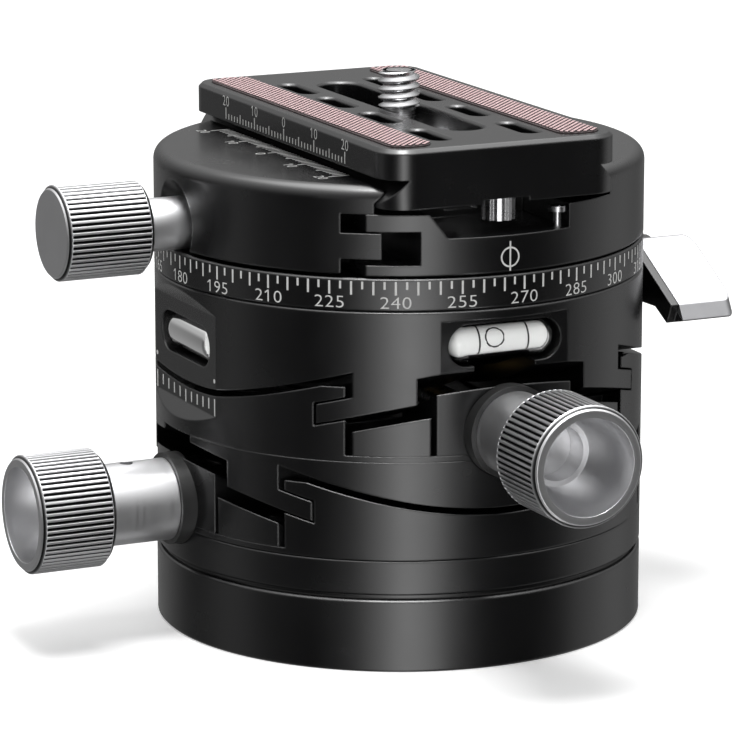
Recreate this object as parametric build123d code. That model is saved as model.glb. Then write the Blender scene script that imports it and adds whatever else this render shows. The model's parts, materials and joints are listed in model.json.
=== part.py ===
from build123d import *
import math
import os

# Panoramic tripod head, mm. Origin at the middle of the base's underside, +Z up.
# The stage knobs point to -X (lower) and -Y (upper), the clamp knob to -X, the pan lock lever to +X.
# A tilt module is drawn once in its own frame: it moves along its X, its knob points to its -X and
# its seam with the piece below is its Z = 0. The upper module is the same one, turned 90 degrees.

BODY_R = 37.5
FIT = 0.05
SEAM = 0.3

# heights of the seams between the stacked pieces
BASE_TOP = 11.0
SPACER_LOW = 11.75
LOWER_SEAM = 17.12
UPPER_SEAM = 31.95
DIAL_LOW = 54.57
DIAL_TOP = 59.5
CLAMP_LOW = 59.7
CLAMP_TOP = 73.0
STEP_DEEP = 0.9
STEP_R = BODY_R - STEP_DEEP
EDGE_BEVEL = 0.3

# tripod thread
THREAD_R = 3.97
BUSH_R = 7.0
BUSH_LOW = 0.3
BUSH_TOP = 9.8
BASE_SCREW_X = 10.0
BASE_SCREW_RIM = 6.5
BASE_SCREW_Y = BODY_R - BASE_SCREW_RIM
BASE_SCREW_R = 2.0
BASE_SCREW_HEAD_R = 3.5
BASE_SCREW_HEAD_LOW = 0.6
BASE_SCREW_HEAD_TOP = 4.2
BASE_SCREW_END = 20.2

# worm and rack; the worm's height above the seam and the rack's pitch radius set the tilt centre
GEAR_MODULE = 0.6
RACK_TEETH = 266
WORM_STARTS = 2
WORM_Z = 4.1
WORM_PITCH_R = 2.5
GEAR_ADDENDUM = 0.45
WORM_TIP_R = WORM_PITCH_R + GEAR_ADDENDUM
WORM_DEDENDUM = 0.6
WORM_ROOT_R = WORM_PITCH_R - WORM_DEDENDUM
WORM_HALF = 10.0
WORM_BACKLASH = 0.24
FLANK_DEG = 20.0
RACK_HALF = 4.0
RACK_PITCH_ARC = RACK_TEETH * GEAR_MODULE / 2
RACK_TIP_ARC = RACK_PITCH_ARC + GEAR_ADDENDUM
RACK_DEDENDUM = 0.7
RACK_ROOT_ARC = RACK_PITCH_ARC - RACK_DEDENDUM
RACK_THICK = 4.3
RACK_BACK_ARC = RACK_PITCH_ARC - RACK_THICK
RACK_HALF_DEG = 13.0
RACK_SLOT_WIDE = 1.0
RACK_SLOT_RUNOUT = 0.5
RACK_GROOVE_GAP = 1.0
RACK_GROOVE_HALF = RACK_HALF + RACK_GROOVE_GAP
TILT_RISE = WORM_Z + WORM_PITCH_R + RACK_PITCH_ARC

# tilt module: every ..._ARC is a radius about the tilt centre
MODULE_PITCH = UPPER_SEAM - LOWER_SEAM
CHEEK_FLAT = 11.2
CHEEK_SILL = 6.4
CHEEK_TOP_ARC = TILT_RISE - CHEEK_SILL
CHEEK_LIP_THICK = 2.2
CHEEK_LIP_ARC = CHEEK_TOP_ARC + CHEEK_LIP_THICK
FLANGE_TOP_ARC = CHEEK_LIP_ARC + SEAM
FLANGE_THICK = 2.7
FLANGE_LOW_ARC = FLANGE_TOP_ARC + FLANGE_THICK
GROOVE_ARC = FLANGE_LOW_ARC + SEAM
STAGE_GAP = 1.0
STAGE_ARC = CHEEK_TOP_ARC - STAGE_GAP
POCKET_RISE = 4.8
POCKET_ARC = TILT_RISE - POCKET_RISE
HOUSING_GAP = 2.7
HOUSING_ARC = POCKET_ARC + HOUSING_GAP
END_BLOCK_GAP = 2.1
END_BLOCK_ARC = FLANGE_LOW_ARC + END_BLOCK_GAP
NECK_HALF = 22.0
NECK_GAP = 0.9
CHEEK_IN = NECK_HALF + NECK_GAP
FLANGE_HALF = 26.2
GROOVE_HALF = FLANGE_HALF + SEAM
HOUSING_HALF = 11.0
POCKET_GAP = 2.7
POCKET_HALF = HOUSING_HALF + POCKET_GAP
BLOCK_GAP = 0.8
END_BLOCK_IN = HOUSING_HALF + BLOCK_GAP
END_BLOCK_OUT = NECK_HALF
MOUTH_IN = 24.0
MOUTH_FLOOR = TILT_RISE - GROOVE_ARC
BLOCK_FIT = 0.2
BLOCK_BACK = MOUTH_IN + BLOCK_FIT
TROUGH_HALF = 4.5
TROUGH_FLOOR = 0.8
RELIEF_R = 1.7
RELIEF_Y = -1.5

# worm shaft, bush, rear bearing and knob: distances out from the centre along the shaft
SHAFT_R = 2.0
SHOULDER_R = 2.7
SHOULDER_LONG = 1.3
JOURNAL_R = 1.6
BEARING_IN = 12.0
BEARING_OUT = 18.0
TROUGH_END = BEARING_OUT + FIT
BEARING_HALF = 4.4
BEARING_TOP = 6.5
COLLAR_R = 7.0
COLLAR_SINK = 0.7
COLLAR_IN = BODY_R - COLLAR_SINK
COLLAR_LONG = 2.4
COLLAR_OUT = COLLAR_IN + COLLAR_LONG
SLEEVE_R = 2.95
SLEEVE_SINK = 0.2
SLEEVE_IN = BLOCK_BACK + SLEEVE_SINK
NECK_R = 6.24
NECK_LONG = 11.3
NECK_OUT = COLLAR_OUT + NECK_LONG
KNOB_R = 9.0
KNOB_LONG = 12.0
KNOB_OUT = NECK_OUT + KNOB_LONG
KNOB_BEVEL = 0.7
BOWL_R = 7.25
BOWL_DEEP = 9.4
BOWL_LOW_R = 4.9
WELL_R = 4.1
WELL_DEEP = 4.0
SHAFT_SHORT = 3.5
SHAFT_OUT = NECK_OUT - SHAFT_SHORT
GRUB_BACK = 5.0
GRUB_OUT = NECK_OUT - GRUB_BACK
GRUB_R = 1.0
GRUB_TOP_R = 5.4
HEX_R = 0.6
HEX_DEEP = 1.2
WORM_KNURLS = 64
KNURL_DEEP = 0.45

# screws of a tilt module
BLOCK_SCREW_R = 1.25
BLOCK_SCREW_HEAD_R = 2.3
BLOCK_SCREW_HEAD_TALL = 1.3
BLOCK_SCREW_END = -4.0
BLOCK_SCREW_RIM = 8.5
BLOCK_SCREW_X = BODY_R - BLOCK_SCREW_RIM
END_SCREW_Y = 17.0
END_SCREW_SEAT = 2.2
HOUSING_SCREW_Y = 7.4
HOUSING_SCREW_SEAT = 5.0
BEARING_SCREW_Y = 3.1
BEARING_SCREW_R = 0.75
BEARING_SCREW_HEAD_R = 1.2
BEARING_SCREW_SEAT = 5.5
BEARING_SCREW_END = -3.0
BED_SCREW_X = 10.0
BED_SCREW_RIM = 6.5
BED_SCREW_Y = BODY_R - BED_SCREW_RIM
BED_SCREW_R = 1.5
BED_SCREW_HEAD_R = 2.75
BED_SCREW_SEAT = 4.0
BED_SCREW_HEAD_TOP = 6.6
BED_SCREW_END = -3.5
RACK_SCREW_X = 9.0
RACK_SCREW_R = 1.0
RACK_SCREW_HEAD_R = 1.9
RACK_SCREW_HEAD_TALL = 1.2
RACK_SCREW_REACH = 2.6

# spirit levels and the facets they sit in
VIAL_R = 3.1
VIAL_WALL = 0.6
VIAL_HALF = 9.2
FRONT_VIAL_Z = 49.0
SIDE_VIAL_Z = 45.8
VIAL_BUBBLE_R = 1.5
VIAL_BUBBLE_STRETCH = 1.5
FRONT_FLAT_DEEP = 1.5
FRONT_FLAT = BODY_R - FRONT_FLAT_DEEP
FRONT_FLAT_HALF = 10.4
FRONT_FLAT_LOW = 44.5
FRONT_FLAT_TOP = 53.0
SIDE_FLAT_DEEP = 1.85
SIDE_FLAT = BODY_R - SIDE_FLAT_DEEP
SIDE_FLAT_HALF = 11.65
SIDE_FLAT_RAMP_LOW = 33.9
SIDE_FLAT_LOW = 36.0
SIDE_FLAT_TOP = 51.3
SIDE_FLAT_RAMP_TOP = 53.9

# pan bearing and its lock
WELL_FLOOR = 46.5
WASHER_TOP = 47.1
SPINDLE_FLANGE_R = 18.0
WASHER_EDGE = 0.5
WASHER_R = SPINDLE_FLANGE_R - WASHER_EDGE
SPINDLE_FLANGE_TOP = 54.3
SPINDLE_WELL_R = SPINDLE_FLANGE_R + SEAM
SPINDLE_NECK_R = 12.0
PAN_BUSH_R = 14.0
DIAL_SCREW_AT = 23.5
DIAL_SCREW_R = 1.25
DIAL_SCREW_HEAD_R = 2.4
DIAL_SCREW_SEAT = 57.6
DIAL_SCREW_HEAD_TOP = 59.2
DIAL_SCREW_END = 49.5
LOCK_Z = 50.0
SHOE_R = 2.4
SHOE_GAP = 0.15
SHOE_IN = SPINDLE_FLANGE_R + SHOE_GAP
SHOE_LONG = 5.85
SHOE_OUT = SHOE_IN + SHOE_LONG
LOCK_SCREW_R = 2.0
LOCK_SCREW_GAP = 0.1
LOCK_SCREW_IN = SHOE_OUT + LOCK_SCREW_GAP
LEVER_IN = BODY_R + SEAM
LEVER_SIDE_THICK = 1.4
LEVER_FACE = LEVER_IN + LEVER_SIDE_THICK
LEVER_ARM_THICK = 5.7
LEVER_ARM_OUT = LEVER_IN + LEVER_ARM_THICK
LEVER_TAB_WIDE = 9.5
LEVER_OUT = LEVER_FACE + LEVER_TAB_WIDE
LOCK_SCREW_COVER = 1.0
LOCK_SCREW_OUT = LEVER_ARM_OUT - LOCK_SCREW_COVER
LEVER_HUB_R = 5.0
LEVER_TOP_BACK = (-4.4, 55.5)
LEVER_TOP_FRONT = (-18.3, 47.6)
LEVER_THICK = 2.7
LEVER_CORNER_R = 1.5
LEVER_TOE = (-16.9, 44.6)
LEVER_BELLY_FRONT = (-13.2, 46.5)
LEVER_BELLY_BACK = (-7.5, 46.4)

# camera plate and the 45 degree flanks that the clamp holds it by
PLATE_LOW = 69.95
PLATE_TOP = 78.75
PLATE_HALF_X = 19.25
PLATE_HALF_Y = 36.3
FLANK_LOW = 70.6
SHELF_Z = 74.3
WAIST_HALF = PLATE_HALF_X - (SHELF_Z - FLANK_LOW)
PLATE_CORNER_R = 4.6
PLATE_TOP_BEVEL = 0.6
PLATE_GROOVE_HALF = 3.7
PLATE_GROOVE_TOP = 70.55
SLOT_BEVEL = 0.35
SLOT_ROW_X = 7.4
SLOT_WIDE = 3.0
SLOT_LONG = 10.5
SLOT_CENTRES = (25.4, 8.8, -6.55, -20.75)
CENTRE_SLOT_HALF = 24.5
CENTRE_SLOT_WIDE = 6.9
HEAD_SLOT_HALF = 27.0
HEAD_SLOT_WIDE = 11.0
HEAD_SLOT_TOP = 75.2
PAD_IN = 10.4
PAD_OUT = 17.1
PAD_MARGIN = 2.3
PAD_HALF_Y = PLATE_HALF_Y - PAD_MARGIN
PAD_CORNER_R = 2.5
PAD_DEEP = 0.6
PAD_PROUD = 0.35
PAD_GAP = 0.1

# clamp: fixed body and moving jaw
CHANNEL_FLOOR = 68.9
FLANK_GAP = 0.1
LIP_REACH = 1.35
LIP_HALF = PLATE_HALF_X - LIP_REACH
SEAT_IN = 14.0
SEAT_EDGE = 0.25
SEAT_OUT = PLATE_HALF_X - SEAT_EDGE
SEAT_HALF_Y = 21.0
SPLIT_WALL = 1.15
SPLIT_X = -(PLATE_HALF_X + SPLIT_WALL)
JAW_X = SPLIT_X - SEAM
JAW_NOTCH_DEEP = 2.7
JAW_NOTCH_X = JAW_X - JAW_NOTCH_DEEP
JAW_LOW = 59.95
TONGUE_LONG = 2.0
TONGUE_X = SPLIT_X + TONGUE_LONG
TONGUE_LOW = 62.3
TONGUE_TOP = 66.1
FINGER_POCKET_X = -13.3
FINGER_POCKET_LOW = 61.4
FINGER_POCKET_TOP = 66.4
COMB_Y = 22.0
TOP_FILLET = 2.0
WINDOW_LEFT = -9.4
WINDOW_SLANT = 2.7
WINDOW_RIGHT = 10.5
WINDOW_FLOOR = 65.3
WINDOW_DEEP = 16.5
WINDOW_BACK = -(BODY_R - WINDOW_DEEP)
CLAMP_AXIS_Z = 63.6
CLAMP_SCREW_R = 2.45
CLAMP_SCREW_IN = -9.0
CLAMP_BORE_END = -8.0
CLAMP_KNOB_R = 7.2
CLAMP_KNOB_GAP = 5.6
CLAMP_KNOB_IN = BODY_R + CLAMP_KNOB_GAP
CLAMP_KNOB_LONG = 13.9
CLAMP_KNOB_OUT = CLAMP_KNOB_IN + CLAMP_KNOB_LONG
CLAMP_SCREW_GRIP = 6.9
CLAMP_SCREW_OUT = -(CLAMP_KNOB_IN + CLAMP_SCREW_GRIP)
CLAMP_KNURLS = 52
DIMPLE_DEEP = 2.5
DIMPLE_FLOOR = BODY_R - DIMPLE_DEEP
DIMPLE_R = 4.4
DIMPLE_MOUTH_R = 7.6
CLAMP_NECK_R = 4.0
CLAMP_NECK_IN = DIMPLE_FLOOR + FIT
GUIDE_Y = 14.0
GUIDE_R = 1.5
GUIDE_IN = -12.0
GUIDE_RIM = 5.0
GUIDE_OUT = -(BODY_R - GUIDE_RIM)
GUIDE_END_GAP = 0.5
GUIDE_BORE_OUT = GUIDE_OUT - GUIDE_END_GAP
GUIDE_SLIP = 0.08
GUIDE_BORE_R = GUIDE_R + GUIDE_SLIP
SPRING_WELL_R = 2.9
SPRING_WELL_X = -14.0
SPRING_R = 2.5
SPRING_BORE_R = 1.8
SPINDLE_SCREW_AT = 8.5
SPINDLE_SCREW_R = 1.5
SPINDLE_SCREW_HEAD_R = 2.75
SPINDLE_SCREW_SEAT = 66.0
SPINDLE_SCREW_HEAD_TOP = 68.6
SPINDLE_SCREW_END = 51.0

# headed post at the right end of the window
POST_X = 9.1
POST_Y = -34.8
POST_R = 0.6
POST_HEAD_R = 1.3
POST_HEAD_LOW = 67.7
POST_TOP = 68.5
POST_LOW = 62.5

# the plate's two stop screws, and the recesses of the clamp that they run in
STUD_MARGIN = 2.8
STUD_Y = PLATE_HALF_Y - STUD_MARGIN
STUD_R = 2.5
STUD_RIBS = 9
STUD_RIB_DEEP = 0.35
STUD_LOW = 67.1
STUD_SOCKET_R = 1.25
STUD_SOCKET_DEEP = 1.5
STUD_SHANK_R = 1.25
STUD_SHANK_TOP = 74.5
PLATE_TRAVEL = 20.0
STUD_SIDE_GAP = 0.2
STUD_RECESS_HALF = STUD_R + STUD_SIDE_GAP
STUD_RECESS_FLOOR = 66.3

# camera screw: thread above the plate, thinner neck through the slot, loose ring that keeps it in
CAMERA_R = 3.175
CAMERA_RISE = 5.5
CAMERA_NECK_R = 2.6
CAMERA_HEAD_R = 5.2
CAMERA_HEAD_LOW = 70.5
CAMERA_HEAD_TOP = 73.6
CAMERA_SLOT_WIDE = 1.4
CAMERA_SLOT_DEEP = 1.3
CAMERA_BEVEL = 0.5
RETAINER_LOW = 73.7
RETAINER_TOP = 75.1
RETAINER_R = 5.3

BIG = 100.0


def rod(r, low, high, x=0.0, y=0.0):
    """Upright cylinder from one height to another."""
    return Pos(x, y, (low + high) / 2) * Cylinder(r, high - low)


def rod_x(r, x0, x1, y=0.0, z=0.0):
    """Cylinder along X."""
    return Pos((x0 + x1) / 2, y, z) * Rot(0, 90, 0) * Cylinder(r, abs(x1 - x0))


def block(x0, x1, y0, y1, z0, z1):
    """Box between two corners."""
    return Pos((x0 + x1) / 2, (y0 + y1) / 2, (z0 + z1) / 2) * Box(x1 - x0, y1 - y0, z1 - z0)


def strip(half, low=-BIG, high=BIG):
    """Endless box across the module's Y centre, of one half width."""
    return block(-BIG, BIG, -half, half, low, high)


def arc(radius):
    """Cylinder about the tilt axis of a module."""
    return Pos(0, 0, TILT_RISE) * Rot(90, 0, 0) * Cylinder(radius, 2 * BIG)


def profile_y(points, y0, y1):
    """Prism along Y from points (x, z)."""
    face = make_face(Polyline(*[(x, y0, z) for x, z in points], close=True))
    return extrude(face, amount=y1 - y0, dir=(0, 1, 0))


def profile_x(points, x0, x1):
    """Prism along X from points (y, z)."""
    face = make_face(Polyline(*[(x0, y, z) for y, z in points], close=True))
    return extrude(face, amount=x1 - x0, dir=(1, 0, 0))


def knurled(r, deep, count, low, high):
    """Upright bar with straight knurling all round."""
    points = []
    for i in range(count):
        start = 2 * math.pi * i / count
        for share, radius in ((0.0, r), (0.38, r), (0.62, r - deep), (0.78, r - deep)):
            angle = start + share * 2 * math.pi / count
            points.append((radius * math.cos(angle), radius * math.sin(angle), low))
    return extrude(make_face(Polyline(*points, close=True)), amount=high - low, dir=(0, 0, 1))


def diagonal(distance):
    """Four places on the diagonals at one distance from the centre."""
    angles = [math.pi / 4 + i * math.pi / 2 for i in range(4)]
    return [(distance * math.cos(a), distance * math.sin(a)) for a in angles]


def screw(x, y, shank_r, head_r, low, seat, top):
    """Socket screw with its head up."""
    body = rod(shank_r, low, seat, x, y) + rod(head_r, seat, top, x, y)
    return body - rod(head_r / 2, (seat + top) / 2, top, x, y)


def screw_hole(x, y, shank_r, head_r, low, seat, top):
    """Clearance for a screw, with room above its head."""
    return rod(shank_r + FIT, low - FIT, seat, x, y) + rod(head_r + FIT, seat, top, x, y)


# tilt module, in its own frame
def end_screws():
    return [(sx * BLOCK_SCREW_X, sy * END_SCREW_Y) for sx in (-1, 1) for sy in (-1, 1)]


def housing_screws():
    return [(-BLOCK_SCREW_X, sy * HOUSING_SCREW_Y) for sy in (-1, 1)]


def bearing_screws():
    middle = (BEARING_IN + BEARING_OUT) / 2
    return [(middle, sy * BEARING_SCREW_Y) for sy in (-1, 1)]


def bed_screws():
    return [(sx * BED_SCREW_X, sy * BED_SCREW_Y) for sx in (-1, 1) for sy in (-1, 1)]


def down_holes():
    """Tapped holes that a module's screws need in the piece under it."""
    holes = Part()
    for x, y in end_screws() + housing_screws():
        holes += rod(BLOCK_SCREW_R + FIT, BLOCK_SCREW_END - FIT, BIG / 10, x, y)
    for x, y in bearing_screws():
        holes += rod(BEARING_SCREW_R + FIT, BEARING_SCREW_END - FIT, BIG / 10, x, y)
    return holes


def collar_bite():
    """Room for the flange of the worm bush, in the rim of every piece it overlaps."""
    return rod_x(COLLAR_R + FIT, -COLLAR_IN, -BIG, 0, WORM_Z)


def bed():
    body = rod(BODY_R, 0, CHEEK_FLAT) - arc(CHEEK_TOP_ARC)
    body -= arc(GROOVE_ARC) & strip(CHEEK_IN)
    body -= (arc(GROOVE_ARC) - arc(CHEEK_LIP_ARC)) & strip(GROOVE_HALF)
    body -= block(-BIG, -MOUTH_IN, -CHEEK_IN, CHEEK_IN, MOUTH_FLOOR, BIG)
    for side in (-1, 1):
        inner, outer = sorted((side * HOUSING_HALF, side * CHEEK_IN))
        body -= block(MOUTH_IN, BIG, inner, outer, MOUTH_FLOOR, BIG)
    body -= block(-MOUTH_IN, TROUGH_END, -TROUGH_HALF, TROUGH_HALF, TROUGH_FLOOR, BIG)
    body -= down_holes()
    return body - collar_bite()


def cradle(height):
    """Moving stage: disc on two T rails, hollow in the middle for worm and rack."""
    blank = rod(BODY_R, 0, height)
    body = blank & arc(STAGE_ARC)
    body += blank & arc(FLANGE_LOW_ARC) & strip(NECK_HALF)
    body += blank & (arc(FLANGE_LOW_ARC) - arc(FLANGE_TOP_ARC)) & strip(FLANGE_HALF)
    body -= strip(POCKET_HALF, -BIG, height) - arc(POCKET_ARC)
    body -= strip(RACK_GROOVE_HALF, -BIG, height) - arc(STAGE_ARC)
    body -= rack_blank(FIT)
    rim_z = TILT_RISE - math.sqrt(POCKET_ARC**2 - BODY_R**2)
    body -= rod_x(RELIEF_R, -BODY_R - 1, -BODY_R + 6, RELIEF_Y, rim_z - RELIEF_R / 2)
    return body


def rack_blank(gap):
    ring = arc(RACK_TIP_ARC) - arc(RACK_BACK_ARC - gap)
    wedge = strip(RACK_HALF + gap)
    for side in (-1, 1):
        turn = side * (RACK_HALF_DEG + math.degrees(gap / RACK_BACK_ARC))
        half_space = Pos(side * BIG, 0, 0) * Box(2 * BIG, BIG, 4 * BIG)
        wedge -= Pos(0, 0, TILT_RISE) * Rot(0, -turn, 0) * half_space
    return ring & wedge & block(-BIG, BIG, -BIG, BIG, -BIG, TILT_RISE)


def rack():
    """Toothed sector; its slots lean by the worm's lead angle."""
    lean = math.degrees(math.atan(WORM_STARTS * GEAR_MODULE / (2 * WORM_PITCH_R)))
    flare = math.tan(math.radians(FLANK_DEG))
    deep = RACK_SLOT_WIDE / 2 - (RACK_PITCH_ARC - RACK_ROOT_ARC) * flare
    open_half = RACK_SLOT_WIDE / 2 + (RACK_TIP_ARC + RACK_SLOT_RUNOUT - RACK_PITCH_ARC) * flare
    mouth = -RACK_TIP_ARC - RACK_SLOT_RUNOUT
    points = [(-open_half, mouth), (open_half, mouth)]
    points += [(deep, -RACK_ROOT_ARC), (-deep, -RACK_ROOT_ARC)]
    tooth_gap = profile_y(points, -2 * RACK_HALF, 2 * RACK_HALF)
    body = rack_blank(0)
    step = 360 / RACK_TEETH
    count = int(RACK_HALF_DEG / step) + 1
    gaps = []
    for i in range(-count, count + 1):
        gaps.append(Pos(0, 0, TILT_RISE) * Rot(0, i * step, 0) * Rot(0, 0, lean) * tooth_gap)
    body -= gaps
    for x in (-RACK_SCREW_X, RACK_SCREW_X):
        back = TILT_RISE - math.sqrt(RACK_BACK_ARC**2 - RACK_SCREW_X**2)
        body -= rod(RACK_SCREW_R, back - RACK_SCREW_REACH, BIG, x, 0)
    return body


def rack_screws(top):
    """Two screws from the face above down into the rack, and the holes for them in the cradle."""
    back = TILT_RISE - math.sqrt(RACK_BACK_ARC**2 - RACK_SCREW_X**2)
    seat = top - RACK_SCREW_HEAD_TALL
    screws = Part()
    holes = Part()
    for x in (-RACK_SCREW_X, RACK_SCREW_X):
        screws += screw(x, 0, RACK_SCREW_R, RACK_SCREW_HEAD_R, back - RACK_SCREW_REACH, seat, top)
        holes += screw_hole(x, 0, RACK_SCREW_R, RACK_SCREW_HEAD_R, back - RACK_SCREW_REACH, seat, top + 1)
    return screws, holes


def worm_housing():
    body = rod(BODY_R, MOUTH_FLOOR, CHEEK_FLAT) - arc(HOUSING_ARC)
    body &= block(-BIG, -BLOCK_BACK, -HOUSING_HALF, HOUSING_HALF, -BIG, BIG)
    body -= rod_x(SLEEVE_R, -BIG, 0, 0, WORM_Z)
    for x, y in housing_screws():
        body -= screw_hole(x, y, BLOCK_SCREW_R, BLOCK_SCREW_HEAD_R, 0, HOUSING_SCREW_SEAT, BIG)
    return body - collar_bite()


def end_blocks():
    blocks = Part()
    for sx in (-1, 1):
        for sy in (-1, 1):
            x0, x1 = sorted((sx * BLOCK_BACK, sx * BIG))
            y0, y1 = sorted((sy * END_BLOCK_IN, sy * END_BLOCK_OUT))
            piece = rod(BODY_R, MOUTH_FLOOR, CHEEK_FLAT) - arc(END_BLOCK_ARC)
            blocks += piece & block(x0, x1, y0, y1, -BIG, BIG)
    for x, y in end_screws():
        blocks -= screw_hole(x, y, BLOCK_SCREW_R, BLOCK_SCREW_HEAD_R, 0, END_SCREW_SEAT, BIG)
    return blocks


def bearing_block():
    body = block(BEARING_IN, BEARING_OUT, -BEARING_HALF, BEARING_HALF, TROUGH_FLOOR, BEARING_TOP)
    body -= rod_x(JOURNAL_R + FIT, 0, BIG, 0, WORM_Z)
    for x, y in bearing_screws():
        body -= screw_hole(x, y, BEARING_SCREW_R, BEARING_SCREW_HEAD_R, 0, BEARING_SCREW_SEAT, BIG)
    return body


def module_screws():
    parts = Part()
    for x, y in end_screws():
        top = END_SCREW_SEAT + BLOCK_SCREW_HEAD_TALL
        parts += screw(x, y, BLOCK_SCREW_R, BLOCK_SCREW_HEAD_R, BLOCK_SCREW_END, END_SCREW_SEAT, top)
    for x, y in housing_screws():
        top = HOUSING_SCREW_SEAT + BLOCK_SCREW_HEAD_TALL
        parts += screw(x, y, BLOCK_SCREW_R, BLOCK_SCREW_HEAD_R, BLOCK_SCREW_END, HOUSING_SCREW_SEAT, top)
    for x, y in bearing_screws():
        ends = (BEARING_SCREW_END, BEARING_SCREW_SEAT, BEARING_TOP)
        parts += screw(x, y, BEARING_SCREW_R, BEARING_SCREW_HEAD_R, *ends)
    return parts


def worm_bush():
    body = rod_x(SLEEVE_R, -SLEEVE_IN, -COLLAR_IN, 0, WORM_Z)
    body += rod_x(COLLAR_R, -COLLAR_IN, -COLLAR_OUT, 0, WORM_Z)
    return body - rod_x(SHAFT_R + FIT, 0, -BIG, 0, WORM_Z)


def worm_shaft():
    """Shaft with the worm cut on it; the thread runs on top at the module's centre."""
    lead = WORM_STARTS * math.pi * GEAR_MODULE
    turns = math.ceil(WORM_HALF / lead) + 1
    flare = math.tan(math.radians(FLANK_DEG))
    half = math.pi * GEAR_MODULE / 4 - WORM_BACKLASH / 2
    sink = 0.3
    tip_half = half - (WORM_TIP_R - WORM_PITCH_R) * flare
    root_half = half + (WORM_PITCH_R - WORM_ROOT_R + sink) * flare
    low = -turns * lead
    path = Pos(0, 0, low) * Helix(pitch=lead, height=2 * turns * lead, radius=WORM_PITCH_R)
    inner = WORM_ROOT_R - sink
    points = [(inner, -root_half), (WORM_TIP_R, -tip_half), (WORM_TIP_R, tip_half), (inner, root_half)]
    section = make_face(Polyline(*[(x, 0, z + low) for x, z in points], close=True))
    thread = sweep(section, path=path, is_frenet=True)
    worm = rod(WORM_ROOT_R, -WORM_HALF, WORM_HALF)
    window = rod(WORM_TIP_R + 1, -WORM_HALF, WORM_HALF)
    for i in range(WORM_STARTS):
        worm += (Rot(0, 0, 360 / WORM_STARTS * i) * thread) & window
    worm = Plane(origin=(0, 0, WORM_Z), x_dir=(0, 0, 1), z_dir=(1, 0, 0)).location * worm
    worm += rod_x(SHAFT_R, -WORM_HALF, -SHAFT_OUT, 0, WORM_Z)
    worm += rod_x(SHOULDER_R, -SLEEVE_IN + FIT + SHOULDER_LONG, -SLEEVE_IN + FIT, 0, WORM_Z)
    worm += rod_x(JOURNAL_R, WORM_HALF, BEARING_OUT, 0, WORM_Z)
    return worm


def cup_knob():
    """Knob on its own axis, then laid along -X."""
    neck_in = COLLAR_OUT + FIT
    body = rod(NECK_R, neck_in, NECK_OUT + 1)
    core = rod(KNOB_R, NECK_OUT, KNOB_OUT)
    core = chamfer(core.edges().filter_by(GeomType.CIRCLE), KNOB_BEVEL)
    grip_low = NECK_OUT + KNOB_BEVEL
    grip_top = KNOB_OUT - KNOB_BEVEL
    core -= rod(KNOB_R + 1, grip_low, grip_top)
    body += core + knurled(KNOB_R, KNURL_DEEP, WORM_KNURLS, grip_low, grip_top)
    floor = KNOB_OUT - BOWL_DEEP
    side = (BOWL_R - 0.4, 0, KNOB_OUT - BOWL_DEEP * 0.6)
    line = Polyline((0, 0, KNOB_OUT + 1), (BOWL_R, 0, KNOB_OUT + 1), (BOWL_R, 0, KNOB_OUT))
    bowl = ThreePointArc((BOWL_R, 0, KNOB_OUT), side, (BOWL_LOW_R, 0, floor))
    bottom = Polyline((BOWL_LOW_R, 0, floor), (0, 0, floor), (0, 0, KNOB_OUT + 1))
    body -= revolve(make_face([line, bowl, bottom]), Axis.Z)
    body -= rod(WELL_R, floor - WELL_DEEP, floor + 1)
    body -= Pos(0, 0, GRUB_OUT) * Rot(0, 90, 0) * Pos(0, 0, NECK_R / 2) * Cylinder(GRUB_R, NECK_R + 2)
    body -= rod(SHAFT_R, neck_in, SHAFT_OUT)
    return Plane(origin=(0, 0, WORM_Z), x_dir=(0, 0, 1), z_dir=(-1, 0, 0)).location * body


def knob_grub():
    body = rod(GRUB_R, WORM_Z + SHAFT_R, WORM_Z + GRUB_TOP_R, -GRUB_OUT, 0)
    return body - rod(HEX_R, WORM_Z + GRUB_TOP_R - HEX_DEEP, WORM_Z + GRUB_TOP_R, -GRUB_OUT, 0)


def lower(shape):
    return Pos(0, 0, LOWER_SEAM) * shape


def upper(shape):
    return Pos(0, 0, UPPER_SEAM) * Rot(0, 0, 90) * shape


# base and spacer
def base_screw_places():
    return [(sx * BASE_SCREW_X, sy * BASE_SCREW_Y) for sx in (-1, 1) for sy in (-1, 1)]


def base_screw_holes(solid):
    for x, y in base_screw_places():
        solid -= rod(BASE_SCREW_R + FIT, 0, BASE_SCREW_END + FIT, x, y)
    return solid


def base_disc():
    body = rod(BODY_R, 0, BASE_TOP)
    body = chamfer(body.edges().filter_by(GeomType.CIRCLE), EDGE_BEVEL)
    body += rod(STEP_R, BASE_TOP - 1, SPACER_LOW)
    body -= rod(BUSH_R, -1, BUSH_TOP)
    for x, y in base_screw_places():
        body -= rod(BASE_SCREW_HEAD_R + FIT, -1, BASE_SCREW_HEAD_TOP, x, y)
    return base_screw_holes(body)


def base_screw_group():
    group = Part()
    for x, y in base_screw_places():
        piece = rod(BASE_SCREW_R, BASE_SCREW_HEAD_TOP, BASE_SCREW_END, x, y)
        piece += rod(BASE_SCREW_HEAD_R, BASE_SCREW_HEAD_LOW, BASE_SCREW_HEAD_TOP, x, y)
        group += piece - rod(BASE_SCREW_R, BASE_SCREW_HEAD_LOW, BASE_SCREW_HEAD_LOW + 2, x, y)
    return group


def spacer():
    body = rod(BODY_R, SPACER_LOW, LOWER_SEAM)
    body = chamfer(body.edges().filter_by(GeomType.CIRCLE), EDGE_BEVEL)
    body -= lower(down_holes())
    body -= lower(collar_bite())
    return base_screw_holes(body)


# facets and spirit levels of the upper stage
def front_facet():
    return block(-FRONT_FLAT_HALF, FRONT_FLAT_HALF, -BIG, -FRONT_FLAT, FRONT_FLAT_LOW, FRONT_FLAT_TOP)


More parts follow.
